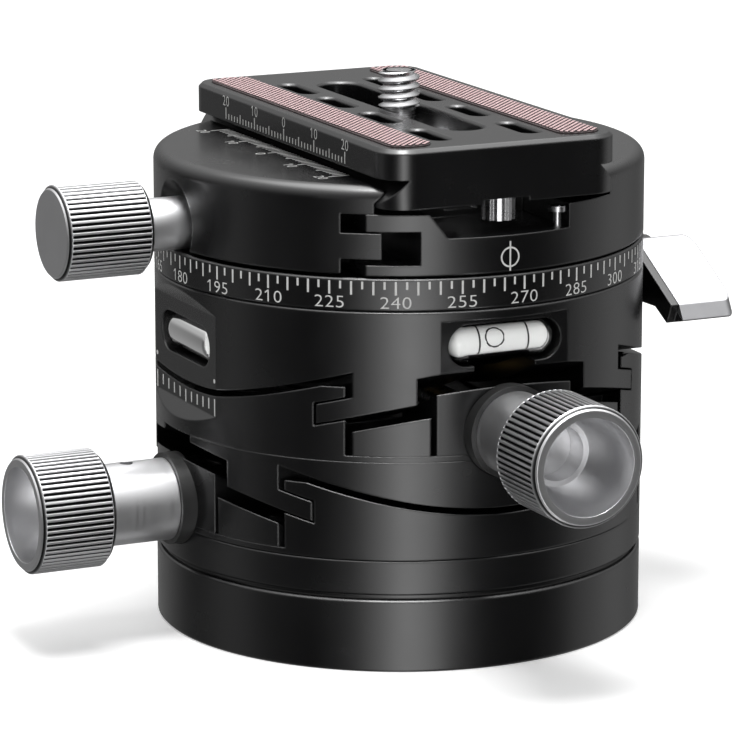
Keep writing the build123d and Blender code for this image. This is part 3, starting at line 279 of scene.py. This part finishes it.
def pad_rubber():
    """Crosshatched pad: pale red on the points, with painted shade near black in the grooves, set by height.
    """
    mat, tree, shader = graph("pad_rubber")
    place = object_coords(tree)
    parts = add(tree, "ShaderNodeSeparateXYZ")
    tree.links.new(place, parts.inputs["Vector"])
    # painted shade: the colour goes from the groove's shade up to the pale points by height
    rise = add(tree, "ShaderNodeMapRange", interpolation_type="SMOOTHSTEP")
    rise.inputs["From Min"].default_value = PAD_PALE_Z * MM
    rise.inputs["From Max"].default_value = PAD_TOP_Z * MM
    tree.links.new(parts.outputs["Z"], rise.inputs["Value"])
    points = tint(tree, noise(tree, place, 900, 3), *PAD_POINTS)
    both = add(tree, "ShaderNodeMix", data_type="RGBA")
    both.inputs["A"].default_value = PAD_GROOVE_PAINTED_SHADE
    tree.links.new(points, both.inputs["B"])
    tree.links.new(rise.outputs[0], both.inputs["Factor"])
    tree.links.new(both.outputs["Result"], shader.inputs["Base Color"])
    tree.links.new(spread(tree, noise(tree, place, 1500, 3), 0.55, 0.72), shader.inputs["Roughness"])
    relief(tree, shader, noise(tree, place, 4500, 3), 0.004)
    return mat


rubber = pad_rubber()

FINISH = {
    "black_anodised": black,
    "silver_anodised": silver_tab,
    "steel": steel,
    "spring_steel": spring_steel,
    "black_screws": black_screw,
    "brass": brass,
    "bronze": bronze,
    "black_polymer": polymer,
    "vial_clear": acrylic,
    "vial_fluid": fluid,
    "pad_rubber": rubber,
}
OWN_FINISH = {
    "lower_knob": silver_lower,
    "upper_knob": silver_upper,
    "clamp_knob": silver_clamp,
    "pan_spindle": steel_z,
    "tripod_bush": steel_z,
}
for part in frame["record"]["subparts"]:
    obj = nodes[part["node"]]
    obj.data.materials.clear()
    obj.data.materials.append(OWN_FINISH.get(part["node"], FINISH[part["material_slot"]]))


# ---------------------------------------------------------------- mesh helpers, in mm
def mesh_object(name, verts, faces, material, smooth=False):
    """New object from points in mm."""
    mesh = bpy.data.meshes.new(name)
    mesh.from_pydata([Vector(v) * MM for v in verts], [], faces)
    mesh.validate()
    obj = bpy.data.objects.new(name, mesh)
    bpy.context.scene.collection.objects.link(obj)
    obj.data.materials.append(material)
    for poly in mesh.polygons:
        poly.use_smooth = smooth
    return obj


def box_into(verts, faces, centre, half):
    """Adds a box to vertex and face lists."""
    start = len(verts)
    for sx in (-1, 1):
        for sy in (-1, 1):
            for sz in (-1, 1):
                corner = Vector((sx * half[0], sy * half[1], sz * half[2]))
                verts.append(tuple(corner + Vector(centre)))
    for quad in ((0, 1, 3, 2), (4, 6, 7, 5), (0, 4, 5, 1), (2, 3, 7, 6), (0, 2, 6, 4), (1, 5, 7, 3)):
        faces.append([start + i for i in quad])


# the digit 1 as a stem and a flag, one unit high
ONE = ((-0.05, 0.0), (0.06, 0.0), (0.06, 1.0), (-0.05, 1.0), (-0.27, 0.68), (-0.05, 0.85), (-0.27, 0.80))
ONE_FACES = ((0, 1, 2, 3), (4, 5, 3, 6))


def digit(mark, height, stretch):
    """Outline of one digit, centred, as (points (x, y), faces), height in mm."""
    if mark == "1":
        return [(x * height * stretch, y * height) for x, y in ONE], [list(face) for face in ONE_FACES]
    curve = bpy.data.curves.new("digit", "FONT")
    curve.body = mark
    curve.align_x = "CENTER"
    curve.size = 1.0
    curve.resolution_u = 5
    curve.offset = -0.009
    obj = bpy.data.objects.new("digit", curve)
    mesh = bpy.data.meshes.new_from_object(obj)
    top = max(v.co.y for v in mesh.vertices)
    points = [(v.co.x / top * height * stretch, v.co.y / top * height) for v in mesh.vertices]
    faces = [list(p.vertices) for p in mesh.polygons]
    bpy.data.objects.remove(obj)
    bpy.data.curves.remove(curve)
    bpy.data.meshes.remove(mesh)
    return points, faces


def number_into(verts, faces, text, height, place, stretch=1.0, pitch=0.78):
    """Adds a number, digit by digit, whose flat (x, y) points go through place()."""
    for i, mark in enumerate(text):
        shift = (i - (len(text) - 1) / 2) * pitch * height * stretch
        points, polygons = digit(mark, height, stretch)
        start = len(verts)
        verts.extend(place(x + shift, y) for x, y in points)
        faces.extend([start + k for k in polygon] for polygon in polygons)


# ---------------------------------------------------------------- degree dial
DIAL_ZERO = -356.3
MARK_LIFT = 0.03
MARK_R = BODY_R + MARK_LIFT
DIAL_LONG = 2.0
DIAL_SHORT = 1.15
DIAL_TICK_TOP = 59.05
DIAL_TICK_HALF = 0.16
DIAL_NUMBER_Z = 55.05
DIAL_NUMBER_TALL = 1.75
DIAL_STRETCH = 1.2
DIAL_PITCH = 0.77
DIAL_TICKS = 144
TICK_DEGREES = 360 / DIAL_TICKS


def on_drum(angle, z):
    """A point just off the body's side, kept inside the head's outer box at the back."""
    return (MARK_R * math.cos(angle), min(MARK_R * math.sin(angle), BODY_R), z)


def dial_marks():
    """A tick every 2.5 degrees, long every 5, with a number every 15."""
    verts, faces = [], []
    for i in range(DIAL_TICKS):
        degrees = TICK_DEGREES * i
        angle = math.radians(DIAL_ZERO + degrees)
        tall = DIAL_LONG if i % 2 == 0 else DIAL_SHORT
        half = DIAL_TICK_HALF / BODY_R
        start = len(verts)
        verts += [on_drum(angle - half, DIAL_TICK_TOP - tall), on_drum(angle + half, DIAL_TICK_TOP - tall)]
        verts += [on_drum(angle + half, DIAL_TICK_TOP), on_drum(angle - half, DIAL_TICK_TOP)]
        faces.append([start, start + 1, start + 2, start + 3])
        if i % 6 == 0:
            def place(x, y, a=angle):
                return on_drum(a + x / BODY_R, DIAL_NUMBER_Z + y)
            number = str(int(degrees))
            number_into(verts, faces, number, DIAL_NUMBER_TALL, place, DIAL_STRETCH, DIAL_PITCH)
    return mesh_object("dial_marks", verts, faces, paint)


dial = dial_marks()
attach(dial, "upper_cradle")

# ---------------------------------------------------------------- pan index on the clamp body
INDEX_LOW = 60.0
INDEX_TOP = 64.4
INDEX_RING_Z = 62.05
INDEX_RING_R = 1.4
INDEX_LINE = 0.13


def index_mark():
    """Upright line with a ring round it."""
    verts, faces = [], []
    front = -math.pi / 2
    half = INDEX_LINE / BODY_R
    verts += [on_drum(front - half, INDEX_LOW), on_drum(front + half, INDEX_LOW)]
    verts += [on_drum(front + half, INDEX_TOP), on_drum(front - half, INDEX_TOP)]
    faces.append([0, 1, 2, 3])
    steps = 48
    start = len(verts)
    for i in range(steps):
        a = 2 * math.pi * i / steps
        for r in (INDEX_RING_R - INDEX_LINE, INDEX_RING_R + INDEX_LINE):
            verts.append(on_drum(front + r * math.cos(a) / BODY_R, INDEX_RING_Z + r * math.sin(a)))
    for i in range(steps):
        j = (i + 1) % steps
        faces.append([start + 2 * i, start + 2 * i + 1, start + 2 * j + 1, start + 2 * j])
    return mesh_object("pan_index", verts, faces, paint)


index = index_mark()
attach(index, "panner")

# ---------------------------------------------------------------- tilt scale on the side facet
SIDE_FLAT = 35.65
TILT_CENTRE_Z = 118.35
CHEEK_ARC = 80.0
TILT_TICK_STEP = 2.2
TILT_TICK_HALF = 0.17
TILT_TICKS = 5
TILT_TICK_GAP = 0.45
TILT_TICK_END = 2.6
TILT_TICK_ZERO = 2.3
TILT_TICK_SHORT = 1.6
TILT_DOT_Y = 11.0
TILT_DOT_Z = 41.4
TILT_DOT_R = 0.34


def tilt_scale():
    """Ticks that hang from the arc of the seam between the stages."""
    verts, faces = [], []
    for i in range(-TILT_TICKS, TILT_TICKS + 1):
        y = i * TILT_TICK_STEP
        top = TILT_CENTRE_Z - math.sqrt(CHEEK_ARC**2 - y**2) - TILT_TICK_GAP
        tall = TILT_TICK_END if abs(i) == TILT_TICKS else TILT_TICK_ZERO if i == 0 else TILT_TICK_SHORT
        centre = (-SIDE_FLAT - MARK_LIFT / 2, y, top - tall / 2)
        box_into(verts, faces, centre, (MARK_LIFT / 2, TILT_TICK_HALF, tall / 2))
    return mesh_object("tilt_scale", verts, faces, paint)


def tilt_dots():
    """The two dots of the upper stage that show the ends of the scale."""
    verts, faces = [], []
    steps = 20
    for middle in (-TILT_DOT_Y, TILT_DOT_Y):
        start = len(verts)
        for i in range(steps):
            a = 2 * math.pi * i / steps
            y = middle + TILT_DOT_R * math.cos(a)
            verts.append((-SIDE_FLAT - MARK_LIFT, y, TILT_DOT_Z + TILT_DOT_R * math.sin(a)))
        faces.append(list(range(start, start + steps))[::-1])
    return mesh_object("tilt_dots", verts, faces, paint)


tilt_marks = tilt_scale()
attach(tilt_marks, "lower_cradle")
dots = tilt_dots()
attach(dots, "upper_cradle")

# ---------------------------------------------------------------- slide scales of plate and jaw
SCALE_UNIT = 1.09
SCALE_ENDS = 20
PLATE_FACE_X = -19.25
PLATE_SCALE_Z = 74.75
PLATE_TICKS = (1.75, 1.35, 0.85)
PLATE_TICK_HALF = 0.13
PLATE_NUMBER_RISE = 2.0
PLATE_NUMBER_TALL = 1.55
JAW_TOP_Z = 73.0
JAW_SCALE_X = -18.6
JAW_TICKS = (3.3, 2.8, 2.2)
JAW_TICK_HALF = 0.1
JAW_NUMBER_OUT = 5.3
JAW_NUMBER_TALL = 1.6
SCALE_STRETCH = 1.1


def scale_ticks(lengths):
    """(index, place along Y, tick length) of a slide scale, with its longest ticks at the tens."""
    for i in range(-SCALE_ENDS, SCALE_ENDS + 1):
        tall = lengths[0] if i % 10 == 0 else lengths[1] if i % 5 == 0 else lengths[2]
        yield i, i * SCALE_UNIT, tall


def plate_scale():
    """Scale on the plate's left side."""
    verts, faces = [], []
    for i, y, tall in scale_ticks(PLATE_TICKS):
        centre = (PLATE_FACE_X - MARK_LIFT / 2, y, PLATE_SCALE_Z + tall / 2)
        box_into(verts, faces, centre, (MARK_LIFT / 2, PLATE_TICK_HALF, tall / 2))
        if i % 10 == 0:
            def place(x, up, at=y):
                return (PLATE_FACE_X - MARK_LIFT, at - x, PLATE_SCALE_Z + PLATE_NUMBER_RISE + up)
            number_into(verts, faces, str(abs(i)), PLATE_NUMBER_TALL, place, SCALE_STRETCH)
    return mesh_object("plate_scale", verts, faces, paint)


def jaw_scale():
    """Scale on top of the jaw, read from the left."""
    verts, faces = [], []
    for i, y, tall in scale_ticks(JAW_TICKS):
        centre = (JAW_SCALE_X - tall / 2, y, JAW_TOP_Z + MARK_LIFT / 2)
        box_into(verts, faces, centre, (tall / 2, JAW_TICK_HALF, MARK_LIFT / 2))
        if i % 10 == 0:
            def place(x, up, at=y):
                return (JAW_SCALE_X - JAW_NUMBER_OUT + up, at - x, JAW_TOP_Z + MARK_LIFT)
            number_into(verts, faces, str(abs(i)), JAW_NUMBER_TALL, place, SCALE_STRETCH)
    return mesh_object("jaw_scale", verts, faces, paint)


scale_on_plate = plate_scale()
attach(scale_on_plate, "plate")
scale_on_jaw = jaw_scale()
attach(scale_on_jaw, "jaw")

# ---------------------------------------------------------------- camera screw with its thread
SCREW_R = 3.175
SCREW_TOP = 84.25
SCREW_THREAD_LOW = 78.8
SCREW_PITCH = 1.27
SCREW_DEEP = 0.72
SCREW_STEPS = 56
SCREW_TIP = 0.8
SCREW_TIP_START = 0.2
SCREW_TIP_SLOPE = 0.9
SCREW_TIP_R = 0.5
# one turn of the thread: (share of the pitch, depth below the crest)
THREAD_FORM = ((0.0, SCREW_DEEP), (0.12, SCREW_DEEP), (0.44, 0.0), (0.60, 0.0), (0.93, SCREW_DEEP))


def threaded_bar():
    """Helical bar: the rows of its grid follow the thread; its ends are flat, its tip tapers."""
    turns = int((SCREW_TOP - SCREW_THREAD_LOW) / SCREW_PITCH) + 2
    rows = []
    for turn in range(-1, turns):
        rows += [((turn + share) * SCREW_PITCH, SCREW_R - deep) for share, deep in THREAD_FORM]
    verts, faces = [], []
    wide = SCREW_STEPS + 1
    for rise, r in rows:
        for i in range(wide):
            z = SCREW_THREAD_LOW + rise + SCREW_PITCH * i / SCREW_STEPS
            near_top = max(0.0, z - (SCREW_TOP - SCREW_TIP))
            taper = max(0.0, min(SCREW_TIP, near_top) - SCREW_TIP_START) * SCREW_TIP_SLOPE
            here = max(r - taper, SCREW_TIP_R)
            a = 2 * math.pi * i / SCREW_STEPS
            verts.append((here * math.cos(a), here * math.sin(a), min(max(z, SCREW_THREAD_LOW), SCREW_TOP)))
    for j in range(len(rows) - 1):
        for i in range(SCREW_STEPS):
            k = j * wide + i
            faces.append([k, k + 1, k + wide + 1, k + wide])
    start = len(verts)
    verts.append((0, 0, SCREW_TOP))
    core = SCREW_R - SCREW_DEEP
    for i in range(SCREW_STEPS):
        a = 2 * math.pi * i / SCREW_STEPS
        verts.append((core * math.cos(a), core * math.sin(a), SCREW_TOP))
    for i in range(SCREW_STEPS):
        faces.append([start, start + 1 + i, start + 1 + (i + 1) % SCREW_STEPS])
    return verts, faces


SCREW_OVERLAP = 0.5
SCREW_MERGE = 0.002
SCREW_SHARP = 40


def camera_screw():
    """The CAD screw's own slotted head and neck, with a cut thread in place of its plain one."""
    obj = mesh_object("camera_screw_threaded", *threaded_bar(), steel_z, smooth=True)
    whole = bmesh.new()
    whole.from_mesh(nodes["camera_screw"].data)
    high = [v for v in whole.verts if v.co.z > (SCREW_THREAD_LOW + SCREW_OVERLAP) * MM]
    bmesh.ops.delete(whole, geom=high, context="VERTS")
    head = bpy.data.meshes.new("head")
    whole.to_mesh(head)
    joined = bmesh.new()
    joined.from_mesh(obj.data)
    joined.from_mesh(head)
    bmesh.ops.remove_doubles(joined, verts=joined.verts, dist=SCREW_MERGE * MM)
    joined.to_mesh(obj.data)
    joined.free()
    whole.free()
    bpy.data.meshes.remove(head)
    obj.data.materials.clear()
    obj.data.materials.append(steel_z)
    for poly in obj.data.polygons:
        poly.material_index = 0
    obj.data.set_sharp_from_angle(angle=math.radians(SCREW_SHARP))
    return obj


screw = camera_screw()
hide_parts("camera_screw")
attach(screw, "camera_screw")

# ---------------------------------------------------------------- crosshatched pads
PAD_PITCH = 1.12
PAD_CORNER_R = 2.5
PAD_RIM = 0.15
POINT_FOOT = 0.37
POINT_TOP = 0.25


def on_pad(x, y, low, high):
    """Whether a point lies inside the pad's rounded outline."""
    reach = PAD_CORNER_R
    dx = max(low[0] + reach - x, x - high[0] + reach, 0.0)
    dy = max(low[1] + reach - y, y - high[1] + reach, 0.0)
    return math.hypot(dx, dy) < reach - PAD_RIM


def point_into(verts, faces, x, y, top):
    """Adds one small four-sided point of the hatching."""
    start = len(verts)
    for share, z in ((POINT_FOOT, PAD_GROOVE_Z), (POINT_TOP, top)):
        reach = share * PAD_PITCH
        verts += [(x + reach, y, z), (x, y + reach, z), (x - reach, y, z), (x, y - reach, z)]
    for k in range(4):
        m = (k + 1) % 4
        faces.append([start + k, start + m, start + 4 + m, start + 4 + k])
    faces.append([start + 4, start + 5, start + 6, start + 7])


def hatched_pad(node):
    """The CAD pad with its top face lowered, and staggered rows of points raised on it."""
    source = nodes[node].data
    low, high = ([c / MM for c in corner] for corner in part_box(node))
    verts = [(v.co.x / MM, v.co.y / MM, min(v.co.z / MM, PAD_GROOVE_Z)) for v in source.vertices]
    faces = [list(p.vertices) for p in source.polygons]
    for i in range(int((high[0] - low[0]) / PAD_PITCH) + 1):
        for j in range(int((high[1] - low[1]) / PAD_PITCH) + 1):
            for shift in (0.0, 0.5):
                x = low[0] + (i + shift) * PAD_PITCH
                y = low[1] + (j + shift) * PAD_PITCH
                if on_pad(x, y, low, high):
                    point_into(verts, faces, x, y, high[2])
    return mesh_object(node + "_hatched", verts, faces, rubber)


for node in ("plate_pad_left", "plate_pad_right"):
    pad = hatched_pad(node)
    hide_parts(node)
    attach(pad, "plate")

# ---------------------------------------------------------------- spirit levels
VIAL_R = 3.1
VIAL_HALF = 9.2
FRONT_VIAL_Z = 49.0
SIDE_VIAL_Z = 45.8
FRONT_FLAT = 36.0
VIAL_LINE = 4.0
VIAL_LINE_HALF = 0.14
VIAL_WALL = 0.15
VIAL_INK_R = VIAL_R - VIAL_WALL + 0.03
BUBBLE_R = 1.5
BUBBLE_RISE = 0.9
BUBBLE_LINE = 0.13
FRONT_BUBBLE_AT = -1.5
SIDE_BUBBLE_AT = -0.3
# painted shade: the arc, in degrees round the fluid, of the grey band
SHADE_ARC = (-62, -44)


def capsule(radius, half, rings=14, steps=40):
    """Round-ended bar along X as vertices and faces."""
    stations = []
    for i in range(rings + 1):
        a = math.pi / 2 * i / rings
        stations.append((-half + radius - radius * math.cos(a), radius * math.sin(a)))
    stations += [(-x, r) for x, r in reversed(stations)]
    verts = []
    for x, r in stations:
        turns = [2 * math.pi * k / steps for k in range(steps)]
        verts += [(x, r * math.cos(a), r * math.sin(a)) for a in turns]
    faces = []
    for i in range(len(stations) - 1):
        for k in range(steps):
            m = (k + 1) % steps
            faces.append([i * steps + k, (i + 1) * steps + k, (i + 1) * steps + m, i * steps + m])
    return verts, faces


def hoop(x, radius, half_wide, steps=40):
    """Band round the X axis."""
    verts = []
    for dx in (-half_wide, half_wide):
        turns = [2 * math.pi * k / steps for k in range(steps)]
        verts += [(x + dx, radius * math.cos(a), radius * math.sin(a)) for a in turns]
    faces = [[k, (k + 1) % steps, steps + (k + 1) % steps, steps + k] for k in range(steps)]
    return verts, faces


def on_vial(x, arc):
    """A point just off the fluid: place along the vial, and mm round it from the front, upward."""
    angle = arc / VIAL_INK_R
    return (x, -VIAL_INK_R * math.cos(angle), VIAL_INK_R * math.sin(angle))


def bubble_ring(bubble_at, steps=36):
    """Dark, slightly uneven edge of the bubble, drawn on the fluid."""
    verts, faces = [], []
    for i in range(steps):
        a = 2 * math.pi * i / steps
        uneven = 0.2 if i % 5 == 0 else 1.0
        for r in (BUBBLE_R - BUBBLE_LINE, BUBBLE_R + BUBBLE_LINE * uneven):
            verts.append(on_vial(bubble_at + r * math.cos(a), BUBBLE_RISE + r * math.sin(a)))
    for i in range(steps):
        j = (i + 1) % steps
        faces.append([2 * i, 2 * i + 1, 2 * j + 1, 2 * j])
    return verts, faces


def shade_strip(steps=6):
    """Grey band of painted shade low on the fluid, between the round ends."""
    low, high = (math.radians(a) * VIAL_R for a in SHADE_ARC)
    reach = VIAL_HALF - VIAL_R
    verts = []
    for i in range(steps + 1):
        verts += [on_vial(x, low + (high - low) * i / steps) for x in (-reach, reach)]
    return verts, [[2 * i, 2 * i + 1, 2 * i + 3, 2 * i + 2] for i in range(steps)]


def level(name, place, replaced, bubble_at):
    """Spirit level: clear body, pale fluid, bubble, a grey band of painted shade and two lines."""
    lines = ([], [])
    hoops = [hoop(x, VIAL_INK_R, VIAL_LINE_HALF) for x in (-VIAL_LINE, VIAL_LINE)]
    for verts, faces in hoops + [bubble_ring(bubble_at)]:
        lines[1].extend([len(lines[0]) + i for i in face] for face in faces)
        lines[0].extend(verts)
    parts = (
        ("_body", capsule(VIAL_R, VIAL_HALF), acrylic),
        ("_fluid", capsule(VIAL_R - VIAL_WALL, VIAL_HALF - VIAL_WALL), fluid),
        ("_shade", shade_strip(), vial_painted_shade),
        ("_lines", lines, paint_dark),
    )
    for ending, (verts, faces), material in parts:
        obj = mesh_object(name + ending, [place @ Vector(v) for v in verts], faces, material, True)
        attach(obj, "upper_cradle")
    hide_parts(replaced)
    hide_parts(replaced + "_fluid")


front_place = Matrix.Translation((0, -FRONT_FLAT + VIAL_R, FRONT_VIAL_Z))
side_place = Matrix.Translation((-SIDE_FLAT + VIAL_R, 0, SIDE_VIAL_Z)) @ Matrix.Rotation(-math.pi / 2, 4, "Z")
level("front_level", front_place, "front_vial", FRONT_BUBBLE_AT)
level("side_level", side_place, "side_vial", SIDE_BUBBLE_AT)

# ---------------------------------------------------------------- floor, light and camera
YAW = math.radians(25.3)


def seen_from(x, y, z):
    """A point given in the camera's own directions (right, away, up), in mm, as a place in metres."""
    return Vector((x * math.cos(YAW) + y * math.sin(YAW), -x * math.sin(YAW) + y * math.cos(YAW), z)) * MM


FLOOR_REACH = 9000
FLOOR_WHITES = ((0.90, 0.90, 0.90), (0.93, 0.93, 0.93))
FLOOR_LIFT = 0.30


def floor_material():
    """White floor, lifted to full white for the camera alone."""
    mat, tree, shader = graph("studio_floor")
    grain = noise(tree, object_coords(tree), 60, 3)
    tree.links.new(tint(tree, grain, *FLOOR_WHITES), shader.inputs["Base Color"])
    shader.inputs["Roughness"].default_value = 0.9
    shader.inputs["Specular IOR Level"].default_value = 0.1
    path = add(tree, "ShaderNodeLightPath")
    lift = math_node(tree, "MULTIPLY", path.outputs["Is Camera Ray"], FLOOR_LIFT)
    shader.inputs["Emission Color"].default_value = (1, 1, 1, 1)
    tree.links.new(lift, shader.inputs["Emission Strength"])
    return mat


floor_corners = [(x * FLOOR_REACH, y * FLOOR_REACH, 0) for x, y in ((-1, -1), (1, -1), (1, 1), (-1, 1))]
floor = mesh_object("studio_floor", floor_corners, [[0, 1, 2, 3]], floor_material())
floor.visible_glossy = False
floor.visible_shadow = False

# what glossy rays see: (degrees round from the camera, brightness) at and below eye level,
# and (height 0 to 1, brightness) above it
ROUND = ((-180, 0.25), (-144, 0.27), (-111, 0.10), (-84, 0.36), (-62, 0.10), (-40, 0.02), (-22, 0.20))
ROUND += ((-9, 1.5), (3, 3.9), (14, 2.6), (26, 0.5), (38, 0.05), (64, 0.02), (80, 0.12), (96, 0.52))
ROUND += ((114, 0.62), (150, 0.2), (180, 0.25))
OVER = ((0.0, 0.30), (0.25, 0.42), (0.5, 0.9), (0.77, 1.8), (0.9, 5.0), (1.0, 8.0))
BRIGHTEST = 8.0
PLAIN_LIGHT = 0.5
OVER_START = 0.2


def ramp(tree, value, stops):
    """Brightness through stops (place 0 to 1, brightness)."""
    node = add(tree, "ShaderNodeValToRGB")
    node.color_ramp.interpolation = "EASE"
    points = node.color_ramp.elements
    while len(points) < len(stops):
        points.new(0.5)
    for point, (place, bright) in zip(points, stops):
        point.position = place
        point.color = (*[bright / BRIGHTEST] * 3, 1)
    tree.links.new(value, node.inputs["Fac"])
    return math_node(tree, "MULTIPLY", node.outputs["Color"], BRIGHTEST)


def studio_world():
    """White for camera and transmission rays, the studio for glossy rays, plain grey for the rest."""
    world = bpy.data.worlds.new("studio")
    bpy.context.scene.world = world
    world.use_nodes = True
    tree = world.node_tree
    parts = add(tree, "ShaderNodeSeparateXYZ")
    tree.links.new(add(tree, "ShaderNodeTexCoord").outputs["Generated"], parts.inputs["Vector"])
    x, y, z = (parts.outputs[k] for k in "XYZ")
    x_right = math_node(tree, "MULTIPLY", x, math.cos(YAW))
    y_right = math_node(tree, "MULTIPLY", y, math.sin(YAW))
    right = math_node(tree, "SUBTRACT", x_right, y_right)
    x_near = math_node(tree, "MULTIPLY", x, -math.sin(YAW))
    y_near = math_node(tree, "MULTIPLY", y, -math.cos(YAW))
    near = math_node(tree, "ADD", x_near, y_near)
    turn = math_node(tree, "ARCTAN2", right, near)
    place = math_node(tree, "ADD", math_node(tree, "DIVIDE", turn, 2 * math.pi), 0.5)
    low = ramp(tree, place, [(0.5 + degrees / 360, bright) for degrees, bright in ROUND])
    high = ramp(tree, z, OVER)
    above = add(tree, "ShaderNodeMapRange", interpolation_type="SMOOTHSTEP")
    above.inputs["From Min"].default_value = 0.0
    above.inputs["From Max"].default_value = OVER_START
    tree.links.new(z, above.inputs["Value"])
    mirror = add(tree, "ShaderNodeMix", data_type="FLOAT")
    tree.links.new(above.outputs[0], mirror.inputs["Factor"])
    tree.links.new(low, mirror.inputs["A"])
    tree.links.new(high, mirror.inputs["B"])
    path = add(tree, "ShaderNodeLightPath")
    lit = add(tree, "ShaderNodeMix", data_type="FLOAT")
    lit.inputs["A"].default_value = PLAIN_LIGHT
    tree.links.new(path.outputs["Is Glossy Ray"], lit.inputs["Factor"])
    tree.links.new(mirror.outputs["Result"], lit.inputs["B"])
    seen = add(tree, "ShaderNodeMix", data_type="FLOAT")
    seen.inputs["B"].default_value = 1.0
    direct = math_node(tree, "MAXIMUM", path.outputs["Is Camera Ray"], path.outputs["Is Transmission Ray"])
    tree.links.new(direct, seen.inputs["Factor"])
    tree.links.new(lit.outputs["Result"], seen.inputs["A"])
    tree.links.new(seen.outputs["Result"], tree.nodes["Background"].inputs["Strength"])
    tree.nodes["Background"].inputs["Color"].default_value = (1, 1, 1, 1)


studio_world()


def softbox(name, place, aim, wide, tall, power):
    """Area lamp, placed and aimed in the camera's own directions."""
    lamp = bpy.data.lights.new(name, "AREA")
    lamp.shape = "RECTANGLE"
    lamp.size = wide * MM
    lamp.size_y = tall * MM
    lamp.energy = power
    obj = bpy.data.objects.new(name, lamp)
    bpy.context.scene.collection.objects.link(obj)
    obj.location = seen_from(*place)
    toward = seen_from(*aim) - obj.location
    obj.rotation_euler = toward.to_track_quat("-Z", "Y").to_euler()


MIDDLE = (0, 0, 45)
softbox("top_key", (0, -210, 900), MIDDLE, 300, 240, 4.5)
softbox("top_sheet", (-80, 260, 900), MIDDLE, 900, 700, 2.5)

EYE = (-4.70, -654.5, 187.9)
LOOK_AT = (-4.70, 0, 37.65)
LENS = 212.5
SENSOR_WIDE = 36
camera_data = bpy.data.cameras.new("camera")
camera_data.lens = LENS
camera_data.sensor_width = SENSOR_WIDE
camera = bpy.data.objects.new("camera", camera_data)
bpy.context.scene.collection.objects.link(camera)
camera.location = seen_from(*EYE)
look = seen_from(*LOOK_AT) - camera.location
camera.rotation_euler = look.to_track_quat("-Z", "Y").to_euler()
bpy.context.scene.camera = camera
bpy.context.scene.view_settings.view_transform = "Standard"
